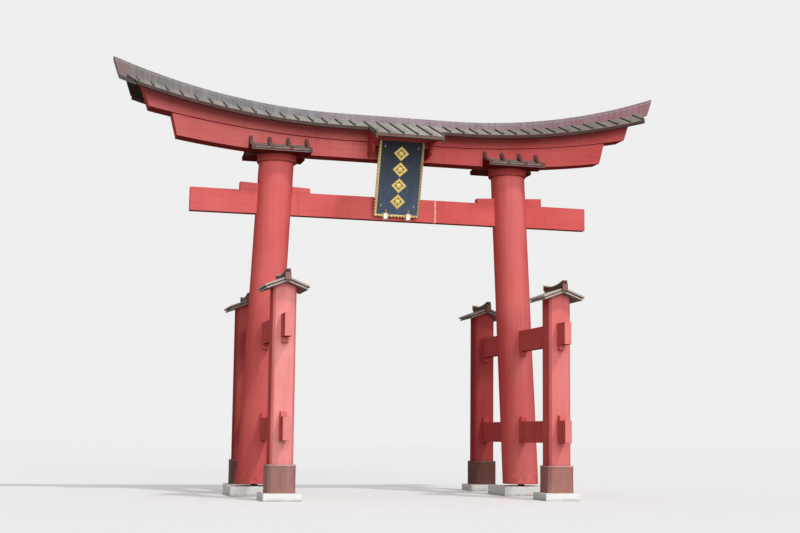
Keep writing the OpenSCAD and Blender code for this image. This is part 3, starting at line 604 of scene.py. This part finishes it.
def sheathNails(x, y):
    # rows of round heads along the upper and lower edge of each face
    half = sheathHalf - sheath["proud"]
    run = np.arange(-2, 3) * sheath["nailGap"]
    centres, outward = [], []
    for c, s in [(1, 0), (0, 1), (-1, 0), (0, -1)]:
        for level in (sheath["high"] - sheath["nailIn"], sheath["low"] + sheath["nailIn"]):
            centres.append(np.stack([x + c * half - s * run, y + s * half + c * run, level + 0 * run], -1))
            outward.append(np.tile([c, s, 0.0], (len(run), 1)))
    return domes(np.concatenate(centres), sheath["nailRadius"], sheath["nailHeight"], np.concatenate(outward))


makePiece("baseSheaths", [p for x, y in corners for p in sheathShells(x, y)], sheathCopper,
          ["base_sheaths"])
makePiece("sheathTrims", [sheathBand(x, y, sheath["high"] - sheath["trim"], sheath["high"], 0, 0.005)
                          for x, y in corners], trimCopper)
makePiece("sheathNails", [p for x, y in corners for p in sheathNails(x, y)], boardCopper)


# braces from front to back and the wedges that lock them

brace = {"half": 0.0875, "reach": 3.7195, "ease": 0.006, "mainHalf": 0.46}
for level, what in [(gate["lowBrace"], "lower"), (gate["highBrace"], "upper")]:
    for side, label in leftRight:
        timber = bar((-brace["reach"], brace["reach"]), 9, brace["half"], level, level + gate["braceHeight"],
                     brace["ease"], "y", (side * gate["subX"], 0, 0))
        makePiece(what + "Brace_" + label, [timber], paintBack, [what + "_brace_" + label])

wedge = {"height": 0.128, "half": 0.0775, "stub": 0.14, "taper": 0.025, "ease": 0.005}


def braceWedge(x, back, front, level, above):
    # driven wedge: its free face slopes by the taper from the head to the tail
    slope = wedge["taper"] / (back - front)
    low = level if above else lambda t: level + slope * (t - front)
    high = level + wedge["height"]
    free = (lambda t: high - slope * (t - front)) if above else high
    return bar((front, back), 2, wedge["half"], low, free, wedge["ease"], "y", (x, 0, 0))


# from the back to the front of each wedge, at the four posts' and the two pillars' faces
spans = [(s * gate["subY"] + gate["subHalf"], s * gate["subY"] - gate["subHalf"] - wedge["stub"])
         for s in (-1, 1)] + [(brace["mainHalf"], -brace["mainHalf"] - wedge["stub"])]
# the lower ones lie on the brace and the upper ones under it
for what, seat in [("lower", gate["lowBrace"] + gate["braceHeight"]),
                   ("upper", gate["highBrace"] - wedge["height"])]:
    makePiece(what + "BraceWedges", [braceWedge(sx * gate["subX"], back, front, seat, what == "lower")
                                     for sx in (-1, 1) for back, front in spans],
              paintBack, [what + "_brace_wedges"])
print("sub-pillars and braces made")


# cap roofs: two thin gables, one over the other, and a saddle-shaped ridge set a little to the back

cap = {"level": 5.145, "fall": 0.39, "halfX": 0.54, "halfY": 0.57, "step": 0.04, "layer": 0.062, "slot": 0.01,
       "fold": 0.02, "coreIn": 0.06, "coreLow": 0.01, "coreHigh": 0.02, "ridgeHalf": 0.67, "ridgeBack": 0.06,
       "ridgeWidth": 0.125, "ridgeRise": 0.1, "ridgeSink": 0.04, "ridgeRadius": 2.7, "sheetThick": 0.006,
       "sheetHang": 0.022, "sheetProud": 0.003, "plateWidth": 0.15, "plateThick": 0.045, "plateDrop": 0.095}
capTop = cap["level"] + 2 * cap["layer"]


def gable(level):
    # level - fall * |t|, with the fold in the middle slightly rounded: sqrt(t^2 + fold^2) - fold
    return lambda t: level - cap["fall"] * (np.sqrt(t ** 2 + cap["fold"] ** 2) - cap["fold"])


def capLayer(x, y, low, halfX, halfY):
    # one thin gable, its rings close together at the fold
    half = np.linspace(-halfX, 0, 8)[:-1]
    rings, _ = barRings(np.r_[half, -0.012, 0, 0.012, -half[::-1]], halfY, gable(low),
                        gable(low + cap["layer"] - cap["slot"]), 0.006)
    return shell(rings + np.array([x, y, 0]))


def capCore(x, y):
    # dark filling between the two layers, seen as a line: a painted shadow line in the slot
    half = cap["halfX"] - cap["coreIn"]
    return bar((-half, half), 15, cap["halfY"] - cap["coreIn"], gable(cap["level"] + cap["coreLow"]),
               gable(cap["level"] + cap["layer"] + cap["coreHigh"]), 0.004, "x", (x, y, 0))


def saddle(level, radius):
    # arc hollow upwards: level + radius - sqrt(radius^2 - t^2)
    return lambda t: level + radius - np.sqrt(radius ** 2 - t ** 2)


def capRidge(x, y, grow, low, high, ease, mark):
    # bar from front to back over the fold, grown sideways
    ends = (-cap["ridgeHalf"], cap["ridgeHalf"])
    return bar(ends, 41, cap["ridgeWidth"] / 2 + grow, low, high, ease, "y",
               (x, y + cap["ridgeBack"], 0), mark=mark)


def capPlates(x, y):
    # plate against each gable, standing for the dark shade at the ridge's foot; its narrow sides are marked
    # for painted shade
    half, low, high = cap["plateWidth"] / 2, capTop - cap["plateDrop"], capTop + cap["ridgeRise"]
    faces = [sorted((y + s * cap["halfY"], y + s * (cap["halfY"] + cap["plateThick"]))) for s in (-1, 1)]
    return [block((x - half, a, low), (x + half, b, high), 0.006) for a, b in faces]


capParts, ridgeParts, ridgeTops = [], [], []
crest, radius = capTop + cap["ridgeRise"], cap["ridgeRadius"]
for x, y in corners:
    capParts += [capLayer(x, y, cap["level"], cap["halfX"] - cap["step"], cap["halfY"] - cap["step"]),
                 capLayer(x, y, cap["level"] + cap["layer"] + cap["slot"], cap["halfX"], cap["halfY"])]
    # the saddle's body is marked 0.8 for painted shade on its sides; the pale sheet on its top is unmarked
    ridgeParts.append(capRidge(x, y, 0, saddle(capTop - cap["ridgeSink"], 1.1 * radius),
                               saddle(crest - cap["sheetThick"], radius), 0.008, 0.8))
    ridgeParts += capPlates(x, y)
    # pale sheet folded over the top of the saddle
    ridgeTops.append(capRidge(x, y, cap["sheetProud"], saddle(crest - cap["sheetHang"], radius),
                              saddle(crest, radius), 0.005, 0))
makePiece("capRoofs", capParts, capCopper, ["cap_roofs"])
makePiece("capCores", [capCore(x, y) for x, y in corners], boardCopper)
makePiece("capRidges", ridgeParts, capRidgeCopper, ["cap_ridges"])
makePiece("capRidgeTops", ridgeTops, capCopper)
print("cap roofs made")


# tie beam in two lengths, with its wedges and the strut over it

tie = {"half": 5.487, "thick": 0.112, "joint": 1.14, "gap": 0.002, "sealWidth": 0.034, "sealProud": 0.003,
       "wedgeOut": 0.965, "wedgeIn": 0.9, "outer": 0.214, "inner": 0.128, "ease": 0.008,
       "strutHalfX": 0.18, "strutHalfY": 0.09}
for name, ends, node in [("tieBeamLong", (-tie["half"], tie["joint"] - tie["gap"]), "tie_beam_long"),
                         ("tieBeamShort", (tie["joint"] + tie["gap"], tie["half"]), "tie_beam_short")]:
    timber = bar(ends, 14, tie["thick"], gate["tieLevel"], gate["tieTop"], tie["ease"])
    makePiece(name, [timber], paintAlong, [node])
proud = tie["thick"] + tie["sealProud"]
seal = block((tie["joint"] - tie["sealWidth"], -proud, gate["tieLevel"] - 0.001),
             (tie["joint"] + tie["gap"], proud, gate["tieTop"] + 0.002), 0.002)
makePiece("tieJointSeal", [seal], sealant)


def tieWedge(side):
    # its top falls evenly from the outer to the inner end
    inner, outer = side * (ringX - tie["wedgeIn"]), side * (ringX + tie["wedgeOut"])
    slope = (tie["outer"] - tie["inner"]) / (tie["wedgeIn"] + tie["wedgeOut"])
    return bar(sorted((inner, outer)), 8, tie["thick"] - 0.004, gate["tieTop"] + 0.001,
               lambda t: gate["tieTop"] + tie["inner"] + slope * (np.abs(t) - abs(inner)), tie["ease"])


makePiece("tieWedges", [tieWedge(s) for s in (-1, 1)], paintAlong, ["tie_wedges"])
strut = block((-tie["strutHalfX"], -tie["strutHalfY"], gate["tieTop"]),
              (tie["strutHalfX"], tie["strutHalfY"], gate["lintelLevel"] + 0.01))
makePiece("centreStrut", [strut], paintUpright, ["centre_strut"])


# lintels

lintel = {"lowerHalf": 6.03, "lowerThick": 0.25, "lowerLean": 0.246, "upperHalf": 6.834, "upperThick": 0.285,
          "upperLean": 0.327, "ease": 0.009, "joint": 0.014, "underDeck": 0.055, "stations": 91}
# one core fills the joint, the other carries the ridge line above the lintel, under both slopes
core = {"jointHalf": 5.9, "jointThick": 0.235, "jointReach": 0.05, "ridgeHalf": 6.6, "ridgeThick": 0.12,
        "ridgeFrom": 0.1, "underDeck": 0.06, "stations": 61}


def lintelBar(what, under, top):
    # curved beam whose slanted ends lean out to their tips
    half = lintel[what + "Half"]
    return bar((-half, half), lintel["stations"], lintel[what + "Thick"], under, top, lintel["ease"],
               lean=lintel[what + "Lean"], tip=top(np.array(half)))


def lintelCore(what, add, top):
    # plain inner beam from the joint line plus add up to the given top
    half, under = core[what + "Half"], upswept(gate["jointLevel"], lintelJoint, add)
    return bar((-half, half), core["stations"], core[what + "Thick"], under, top, 0.004, edgeMark=0)


makePiece("lowerLintel", [lintelBar("lower", upswept(gate["lintelLevel"], lintelUnder),
                                    upswept(gate["jointLevel"], lintelJoint))],
          paintLintel, ["lower_lintel"])
# the upper lintel stops under the roof deck, at the depth of its own front face
makePiece("upperLintel", [lintelBar("upper", upswept(gate["jointLevel"], lintelJoint, lintel["joint"]),
                                    underRoof(lintel["upperThick"], -lintel["underDeck"]))],
          paintLintel, ["upper_lintel"])
jointTop = upswept(gate["jointLevel"], lintelJoint, core["jointReach"])
ridgeFoot = underRoof(core["ridgeThick"], -core["underDeck"])
makePiece("lintelCore", [lintelCore("joint", -core["jointReach"], jointTop),
                         lintelCore("ridge", core["ridgeFrom"], ridgeFoot)], paintShaded)
print("beams and lintels made")


# roof sheets between battens

roof = {"halfTop": 7.26, "halfEave": 7.01, "deck": 0.06, "lip": 0.014, "drip": 0.024, "wave": 0.004,
        "ripple": 0.0012, "cut": 0.94, "plaqueFrom": 0.5, "shearFrom": 6.5}


def slopeSheet(x0, x1, t0, t1, side):
    # ring: sheet from t0 down to the rolled drip edge, then back under the deck; rings step along x.
    # The sheet lifts by wave * (1 + cos(2 pi x / pitch)) between battens; verges shear to the eave's half
    lip, drip = t1 + roof["lip"], -roof["drip"]
    section = np.concatenate([
        np.c_[np.linspace(t0, t1 - 0.03, 7), np.zeros(7)],
        [[t1 + 0.008, 0], [lip, -0.006], [lip, drip], [t1 + 0.01, drip], [t1 + 0.007, -0.012],
         [t1 + 0.002, -0.008], [t1 - 0.06, -0.008], [t1 - 0.062, -0.05]],
        np.c_[np.linspace(t1 - 0.062, t0, 5), -roof["deck"] + np.zeros(5)]])
    x = np.linspace(x0, x1, max(round((x1 - x0) / gate["pitch"] * 10), 8) + 1)[:, None]
    t, h = section.T
    wave = roof["wave"] * (1 + np.cos(2 * math.pi * x / gate["pitch"]))
    wave = (wave + roof["ripple"] * np.sin(9 * x) * np.sin(5 * t + x)) * np.r_[np.ones(7), np.zeros(13)]
    shear = np.clip((np.abs(x) - roof["shearFrom"]) / (roof["halfTop"] - roof["shearFrom"]), 0, 1)
    shear = shear * (roof["halfTop"] - roof["halfEave"]) * np.clip(t, 0, t1) / gate["eave"]
    # the underside is marked for painted shade
    mark = np.r_[np.zeros(10), np.ones(10)]
    return shell(roofPoint(x - np.sign(x) * shear, t, h + wave, side), mark)


reach, cut, eave, front = roof["halfTop"], roof["cut"], gate["eave"], gate["plaqueEave"]
sheets = {
    "roofSheetsFront": ("roof_front", [(-reach, -cut, 0, eave, -1), (cut, reach, 0, eave, -1),
                                       (-cut, cut, 0, roof["plaqueFrom"], -1)]),
    "roofSheetsRear": ("roof_rear", [(-reach, reach, 0, eave, 1)]),
    "plaqueRoofSheets": ("plaque_roof", [(-cut, cut, roof["plaqueFrom"] - 0.03, front, -1)]),
}
for name, (node, fields) in sheets.items():
    makePiece(name, [slopeSheet(*field) for field in fields], sheetCopper, [node], sharp=30)

battens = {"width": 0.044, "height": 0.038, "endHeight": 0.046, "endLength": 0.05, "endGrow": 0.006,
           "perSide": 19, "start": 0.17, "vergeShift": 0.03}


def battenShells(places, end, side):
    # batten: six-sided bar down the slope with a taller, wider end block; all places at once. Its top is
    # pale, and its flanks and end blocks are marked for painted shade
    half, low, tall = battens["width"] / 2, battens["height"], battens["endHeight"]
    blockStart = end - battens["endLength"]
    t = np.array([battens["start"], blockStart - 0.004, blockStart, end + 0.014, end + 0.019])[:, None]
    height = np.array([low, low, tall, tall, tall - 0.008])[:, None]
    under = np.array([-0.006, -0.006, -0.006, -0.03, -0.026])[:, None]
    wide = half + np.array([0, 0, 1, 1, 0.7])[:, None] * battens["endGrow"]
    across = np.concatenate([wide, wide, wide - 0.007, 0.007 - wide, -wide, -wide], 1)
    lift = np.concatenate([under, height - 0.009, height, height, height - 0.009, under], 1)
    mark = np.array([[1, 1, 0, 0, 1, 1]] * 2 + [[0.9, 0.9, 0.5, 0.5, 0.9, 0.9]] * 2 + [[0.6] * 6], float)
    return shells(roofPoint(places[:, None, None] + across, t, lift, side), mark)


places = (np.arange(battens["perSide"]) + 0.5) * gate["pitch"]
places[2] -= battens["vergeShift"]      # the batten at the verge of the plaque's roof stands just inside it
places = np.r_[-places[::-1], places]
overPlaque = np.abs(places) < cut
for name, group, end, side in [("battensFront", places[~overPlaque], eave, -1),
                               ("battensRear", places, eave, 1),
                               ("battensPlaque", places[overPlaque], front, -1)]:
    makePiece(name, battenShells(group, end, side), battenCopper)

board = {"height": 0.112, "thick": 0.06, "perMetre": 8}


def eaveBoard(x0, x1, side):
    # board whose foot follows the roof curve and whose top meets the sheet
    edge = gate["roofLevel"] - gate["roofFall"] * eave
    return bar((x0, x1), max(int((x1 - x0) * board["perMetre"]), 6), board["thick"] / 2,
               upswept(edge - board["height"], roofCurve), underRoof(eave, -0.009), 0.006,
               shift=(0, side * (eave - board["thick"] / 2), 0))


half = roof["halfEave"]
makePiece("eaveBoardFront", [eaveBoard(-half, -cut, -1), eaveBoard(cut, half, -1)], boardCopper,
          ["eave_board_front"])
makePiece("eaveBoardRear", [eaveBoard(-half, half, 1)], boardCopper, ["eave_board_rear"])
print("roof made")


# ridge box with cut upper edges and standing seams

ridge = {"half": 7.56, "thick": 0.2, "rise": 0.134, "cut": 0.08, "hang": 0.1, "lean": 0.34,
         "seamWidth": 0.014, "seamProud": 0.007, "seamsPerSide": 38}
ridgeTop = upswept(gate["roofLevel"], ridgeCurve, ridge["rise"])
ridgeUnder = upswept(gate["roofLevel"], roofCurve, -gate["roofFall"] * ridge["thick"] - ridge["hang"])
ridgeBody = bar((-ridge["half"], ridge["half"]), 121, ridge["thick"], ridgeUnder, ridgeTop, 0.006,
                cuts=(0, ridge["cut"]), lean=ridge["lean"], tip=ridgeTop(np.array(ridge["half"])))
makePiece("ridgeBox", [ridgeBody], ridgeCopper, ["ridge_box"])


def ridgeSeam(x):
    # thin upright slab, standing proud of the sides and top
    half, proud = ridge["seamWidth"] / 2, ridge["seamProud"]
    return bar((x - half, x + half), 2, ridge["thick"] + proud, lambda t: ridgeUnder(t) + 0.004,
               lambda t: ridgeTop(t) + proud - 0.002, 0.003, edgeMark=0, cuts=(0, ridge["cut"]), turns=1,
               band=0.002)


seams = np.arange(-ridge["seamsPerSide"], ridge["seamsPerSide"] + 1) * gate["pitch"] / 2
makePiece("ridgeSeams", [ridgeSeam(x) for x in seams], ridgeCopper)


# roof over the plaque: eave board with ears and verge boards

shelf = {"level": 9.24, "thick": 0.06, "ear": 0.08, "earDrop": 0.06, "earLift": 0.02, "verge": 0.05,
         "under": 0.055, "gap": 0.008}
fall = gate["roofFall"]
back = -front + shelf["thick"]
edge = gate["roofLevel"] - fall * front - shelf["gap"]
parts = [block((-cut, -front, shelf["level"]), (cut, back, edge), 0.006, "x", 6)]
for s in (-1, 1):
    a, b = sorted((s * cut, s * (cut - shelf["ear"])))
    low, high = shelf["level"] - shelf["earDrop"], shelf["level"] + shelf["earLift"]
    parts.append(block((a, -front + 0.001, low), (b, back - 0.001, high)))
    parts.append(bar((back, -eave), 6, shelf["verge"] / 2, lambda t: shelf["level"] + fall * (t + front),
                     lambda t: gate["roofLevel"] + fall * t - shelf["under"], 0.005, "y",
                     (s * (cut - shelf["verge"] / 2), 0, 0)))
makePiece("plaqueRoofBoards", parts, shelfCopper, ["plaque_roof_board"])
# the cheeks and rail take painted shade under the plaque's roof
for node in ("plaque_cheeks", "plaque_rail"):
    dress(node, paintShaded)
print("ridge and plaque roof made")


# plaque

plaque = {"half": 0.63, "length": 2.12, "lean": 16.0, "footY": -0.27, "footZ": 7.352, "thick": 0.08,
          "recess": 0.03, "frame": 0.07, "scallop": 0.02, "sink": 0.016, "bead": 0.09}


def onPlaque(x, y, z):
    # (across, up the board, out of it) turned back by 90 degrees plus the lean, and set on the tie beam
    turn = math.radians(90 + plaque["lean"])
    return np.stack([x, plaque["footY"] + y * math.cos(turn) - z * math.sin(turn),
                     plaque["footZ"] + y * math.sin(turn) + z * math.cos(turn)], -1)


def frameShell():
    # moulding carried round a rectangle with mitred corners; its outer edge waves in and out by
    # scallop * (1 - |sin(pi * run / bead)|) and its roll sinks between the beads, where the mark is 1
    wide, tall = plaque["half"] * 2, plaque["length"]
    inset, rise = np.array([
        [0, -0.08], [0, -0.03], [0.002, -0.012], [0.008, -0.003], [0.018, 0.0], [0.03, -0.003],
        [0.036, -0.012], [0.042, -0.006], [0.05, -0.004], [0.06, -0.008],
        [plaque["frame"], -0.016], [plaque["frame"], -0.08]]).T
    edge = np.clip(1.2 - inset / 0.03, 0, 1)
    groove = 0.7 * (np.abs(inset - 0.036) < 0.001)
    sides = []
    directions = [(1, 0), (0, 1), (-1, 0), (0, -1)]      # bottom, right, top, left
    for (c, s), length, other in zip(directions, [wide, tall] * 2, [tall, wide] * 2):
        waves = round(length / plaque["bead"])
        run = np.linspace(0, 1, waves * 8 + 1)[:-1, None]
        wave = np.abs(np.sin(math.pi * waves * run))
        inward = inset + plaque["scallop"] * (1 - wave) * edge
        out = rise - plaque["sink"] * (1 - wave) * edge
        along, across = (run - 0.5) * (length - 2 * inward), other / 2 - inward
        mark = np.maximum(np.clip(1.25 - 1.9 * wave, 0, 1) * edge, groove)
        sides.append(np.stack([c * along + s * across, s * along - c * across + tall / 2, out, mark]))
    x, y, z, mark = np.concatenate(sides, 1)
    return shell(onPlaque(x, y, z), mark, loop=True)


makePiece("plaqueFrame", [frameShell()], frameGold, ["plaque_frame"], sharp=60)


def flatPanel(centre, half, y0, y1, z0, z1, ease):
    # flat bar that lies on the board, from y0 to y1 up it and from z0 to z1 out of it
    rings, _ = barRings(np.linspace(y0, y1, 8), half, z0, z1, ease)
    return shell(onPlaque(rings[..., 1] + centre, rings[..., 0], rings[..., 2]))


inside = plaque["frame"] - 0.002
panel = flatPanel(0, plaque["half"] - inside, inside, plaque["length"] - inside, -plaque["thick"],
                  -plaque["recess"], 0.004)
makePiece("plaqueBoard", [panel], boardLacquer, ["plaque_board"])

# plain raised lozenges down the middle of the board
lozenges = {"count": 4, "halfWide": 0.21, "halfHigh": 0.2, "first": 0.42, "step": 0.43, "hole": 0.56,
            "proud": 0.018, "boss": 0.075, "bossProud": 0.028}
fittings = {"x": 0.455, "levels": (0.3, 1.88), "halfWide": 0.022, "halfHigh": 0.046, "proud": 0.024}


def lozengeShell(centre):
    # diamond |x|/a + |y|/b = 1 as a loop of eight-point mouldings
    turn = np.arange(48)[:, None] * 2 * math.pi / 48
    hole = lozenges["hole"]
    section = np.array([[1, -1], [1, 0.3], [0.95, 0.8], [0.5 + hole / 2, 1], [hole + 0.05, 0.8], [hole, 0.3],
                        [hole, -1], [0.8, -1]])
    r = section[:, 0] / (np.abs(np.cos(turn)) + np.abs(np.sin(turn)))
    z = -plaque["recess"] + lozenges["proud"] * section[:, 1] + 0 * r
    return shell(onPlaque(r * np.cos(turn) * lozenges["halfWide"],
                          centre + r * np.sin(turn) * lozenges["halfHigh"], z), loop=True)


def bossShell(x0, y0, halfWide, halfHigh, proud, sides=24):
    # half of a flattened ball: rings shrink by cos and rise by sin
    turn = np.arange(sides) * 2 * math.pi / sides
    lift = np.array([-0.3, 0.0, 0.35, 0.65, 0.85, 0.97])[:, None]
    r = np.sqrt(np.clip(1 - lift ** 2, 0, 1)) * (lift >= 0) + (lift < 0)
    return shell(onPlaque(x0 + r * halfWide * np.cos(turn), y0 + r * halfHigh * np.sin(turn),
                          -plaque["recess"] + proud * lift + 0 * r * turn))


ornament = []
for y in lozenges["first"] + np.arange(lozenges["count"]) * lozenges["step"]:
    ornament += [lozengeShell(y), bossShell(0, y, lozenges["boss"], lozenges["boss"], lozenges["bossProud"])]
makePiece("plaqueOrnament", ornament, ornamentGold)
makePiece("plaqueFittings", [bossShell(s * fittings["x"], y, fittings["halfWide"], fittings["halfHigh"],
                                       fittings["proud"]) for s in (-1, 1) for y in fittings["levels"]],
          fittingGold, ["plaque_fittings"])

foot = {"x": 0.312, "half": 0.06, "low": 7.292, "high": 7.422, "front": -0.31, "back": -0.112, "plate": 0.025,
        "top": 0.105, "side": -0.03, "point": -0.075, "tongueHalf": 0.028, "tongueLength": 0.135,
        "tongueProud": 0.02}


def footPlate(x0):
    # pointed plate: an outline with a left and a right half, its front edge eased
    half, plate = foot["half"], foot["plate"]
    x, y = np.array([[0.004, foot["point"]], [half, foot["side"]], [half, foot["top"]], [-half, foot["top"]],
                     [-half, foot["side"]], [-0.004, foot["point"]]]).T
    ease = np.array([0, 0, 0.0015, 0.006])[:, None]
    depth = np.array([0, plate - 0.006, plate - 0.0015, plate])[:, None] + 0 * x
    return shell(onPlaque(x0 + x * (1 - ease / half), y - np.sign(y) * ease, depth))


supports, tongues = [], []
start = plaque["frame"] + 0.005
for x in (-foot["x"], foot["x"]):
    supports.append(block((x - foot["half"], foot["front"], foot["low"]),
                          (x + foot["half"], foot["back"], foot["high"]), 0.005))
    supports.append(footPlate(x))
    tongues.append(flatPanel(x, foot["tongueHalf"], start, start + foot["tongueLength"], -plaque["recess"],
                             foot["tongueProud"], 0.005))
makePiece("plaqueFeet", supports, footGold, ["plaque_supports"], sharp=25)
makePiece("plaqueTongues", tongues, tongueGold)
print("plaque made")


# hoods over the capital rings

hood = {"half": 0.8, "back": 0.25, "edge": 0.85, "backLevel": 9.153, "edgeLevel": 8.967, "step": 8.88,
        "low": 8.85, "sag": 0.042, "bulge": 0.01, "ribHalf": 0.052, "ribInset": 0.055, "ribBack": 9.285,
        "ribEnd": 0.818, "ribEndLevel": 8.932, "ribSag": 0.062}


def arcPath(first, last, sag, count):
    # chord from first out to last, dipped by 4 * sag * u * (1 - u) towards its lower side
    u = np.linspace(0, 1, count)[:, None]
    first, last = np.array(first), np.array(last)
    run = (last - first) / np.linalg.norm(last - first)
    return first + (last - first) * u + 4 * sag * u * (1 - u) * np.array([run[1], -run[0]])


def hoodSection():
    # (depth, level, mark) down the hollow sheet, over a thin edge strip, a groove, a rounded band and a lip
    # set back, and back along the underside; the mark puts painted shade in the groove, under the lip and on
    # the underside
    e, z, step, low = hood["edge"], hood["edgeLevel"], hood["step"], hood["low"]
    arc = arcPath((hood["back"], hood["backLevel"]), (e - 0.012, z + 0.001), hood["sag"], 12)
    top = np.concatenate([np.c_[arc, np.zeros(12)], [
        [e - 0.004, z, 0], [e, z - 0.004, 0], [e, z - 0.01, 0.3], [e - 0.014, z - 0.012, 1],
        [e - 0.014, z - 0.028, 1], [e - 0.004, z - 0.032, 0], [e, z - 0.044, 0], [e - 0.002, z - 0.062, 0.1],
        [e - 0.01, z - 0.078, 0.5], [e - 0.024, step, 1], [e - 0.026, step - 0.006, 0.8],
        [e - 0.017, step - 0.011, 0], [e - 0.016, low + 0.006, 0], [e - 0.024, low, 0.8]]])
    one = np.ones(len(top))
    return np.concatenate([top, np.c_[np.linspace(e - 0.04, hood["back"], len(top)), low * one, one]])


def hoodSheet(centre, side):
    # the section stands at every x; its band swells by bulge * |sin| between the ribs, and the flat ends
    # are marked for painted shade
    out, level, dark = hoodSection().T
    swell = np.zeros(len(out))
    swell[17:20] = [0.7, 1, 0.7]
    half = hood["half"]
    x = np.r_[-half, -half, np.linspace(-half + 0.012, half - 0.012, 49), half, half][:, None]
    shut = np.r_[1, 0, np.zeros(49), 0, 1][:, None]
    bulge = hood["bulge"] * np.abs(np.sin(1.5 * math.pi * (x / half + 1))) * swell
    depth = out + bulge - 0.006 - 0.004 * shut * (out > 0.5)
    return shell(np.stack([centre + x + 0 * depth, side * depth, level + 0 * x], -1), np.maximum(dark, shut))


def hoodRib(centre, side):
    # round-backed rib swept down the arc, closed by a round cap with a raised rim
    first, last = (hood["back"] - 0.03, hood["ribBack"]), (hood["ribEnd"], hood["ribEndLevel"])
    path = arcPath(first, last, hood["ribSag"], 14)
    run = np.gradient(path, axis=0)
    run[-1] = [1, 0]
    run = run / np.linalg.norm(run, axis=1, keepdims=True)
    reach = np.array([0.012, 0.014, 0.034, 0.038, 0.038, 0.032])
    path = np.concatenate([path, path[-1] + reach[:, None] * run[-1]])
    run = np.concatenate([run, np.repeat(run[-1:], len(reach), 0)])
    size = np.r_[np.ones(15), 1.1, 1.1, 1.02, 0.84, 0.8][:, None] * hood["ribHalf"]
    turn = np.arange(16) * math.pi / 8
    size = size / np.maximum(np.abs(np.cos(turn)), np.abs(np.sin(turn))) ** 0.35
    off = size * np.sin(turn)
    # the rib's flanks and its back are marked for painted shade
    flank = np.clip(1.35 * np.abs(np.cos(turn)) - 0.35, 0, 1) * 0.6
    back = np.r_[np.linspace(0.5, 0, 14), 0, 0.3, 0.3, 0.2, 0.6, 0.6][:, None]
    depth, level = path[:, :1] - off * run[:, 1:], path[:, 1:] + off * run[:, :1]
    return shell(np.stack([centre + size * np.cos(turn), side * depth, level], -1), np.maximum(flank, back))


ribPlaces = np.array([-1, -1 / 3, 1 / 3, 1]) * (hood["half"] - hood["ribInset"])
for side, where in frontRear:
    makePiece("ringHoods_" + where, [hoodSheet(s * ringX, side) for s in (-1, 1)], fasciaCopper,
              ["ring_hoods_" + where])
    makePiece("hoodRibs_" + where, [hoodRib(s * ringX + p, side) for s in (-1, 1) for p in ribPlaces],
              hoodCopper)
print("hoods made")


# floor, backdrop, light and camera

# two suns with their strength, angle in radians, height and turn in degrees; how strongly the surroundings
# light the gate and how bright they look; the floor's size, own faint light and linear colours
light = {"soft": 1.85, "softAngle": 0.75, "softHeight": 12.0, "softTurn": 0.0,
         "sharp": 1.1, "sharpAngle": 0.08, "sharpHeight": 52.0, "sharpTurn": 29.0,
         "sky": 0.32, "backdrop": 0.86, "floorSize": 400, "floorGlow": 0.14,
         "floorSeen": (0.95, 0.95, 0.95, 1), "floorBounce": (0.42, 0.41, 0.39, 1)}
scene = bpy.context.scene


def seenRay(nodes, links):
    # 1 for camera, glossy and transmission rays, 0 for the light that falls on the gate
    path = nodes.new("ShaderNodeLightPath").outputs
    seen = path["Is Camera Ray"]
    for ray in ("Is Glossy Ray", "Is Transmission Ray"):
        either = nodes.new("ShaderNodeMath")
        either.operation = "MAXIMUM"
        links.new(seen, either.inputs[0])
        links.new(path[ray], either.inputs[1])
        seen = either.outputs["Value"]
    return seen


def plainFloor():
    # pale to the eye, greyer for the light that it throws back
    f = Finish("floor", gloss=0.2)
    seen = seenRay(f.tree.nodes, f.tree.links)
    f.shader.inputs["Emission Color"].default_value = (1, 1, 1, 1)
    f.feed(f.shader.inputs["Emission Strength"], f.times(seen, light["floorGlow"]))
    colour = f.mix(seen, light["floorBounce"], light["floorSeen"])
    return f.finish(colour, f.patches(1.0, 3.0, 0, 1, 0.85, 0.95))


bpy.ops.mesh.primitive_plane_add(size=light["floorSize"])
floor = bpy.context.object
floor.name = "floor"
floor.data.materials.append(plainFloor())

for name in ("soft", "sharp"):
    sun = bpy.data.objects.new(name, bpy.data.lights.new(name, "SUN"))
    scene.collection.objects.link(sun)
    sun.data.energy = light[name]
    sun.data.angle = light[name + "Angle"]
    sun.rotation_euler = (math.radians(90 - light[name + "Height"]), 0, math.radians(light[name + "Turn"]))

world = bpy.data.worlds.new("sky")
scene.world = world
world.use_nodes = True
nodes, links = world.node_tree.nodes, world.node_tree.links
background = nodes["Background"]
background.inputs["Color"].default_value = (1, 1, 1, 1)
strength = nodes.new("ShaderNodeMapRange")
links.new(seenRay(nodes, links), strength.inputs["Value"])
strength.inputs["To Min"].default_value = light["sky"]
strength.inputs["To Max"].default_value = light["backdrop"]
links.new(strength.outputs["Result"], background.inputs["Strength"])
scene.view_settings.view_transform = "Standard"

# eye level in front of the gate, left of its middle; focal length in pixels over the picture's width
view = {"place": (-9.2392, -34.8364, 1.5409), "turn": 0.2642, "pitch": 0.1248, "roll": 0.0108,
        "focal": 1352.84, "width": 800, "sensor": 36, "farthest": 500}
camera = bpy.data.objects.new("camera", bpy.data.cameras.new("camera"))
scene.collection.objects.link(camera)
camera.data.sensor_width = view["sensor"]
camera.data.sensor_fit = "HORIZONTAL"
camera.data.lens = view["focal"] / view["width"] * view["sensor"]
camera.data.clip_end = view["farthest"]
place, turn = Matrix.Translation(view["place"]), Matrix.Rotation(-view["turn"], 4, "Z")
tilt, roll = Matrix.Rotation(math.pi / 2 + view["pitch"], 4, "X"), Matrix.Rotation(view["roll"], 4, "Z")
camera.matrix_world = place @ turn @ tilt @ roll
scene.camera = camera

print("scene ready")
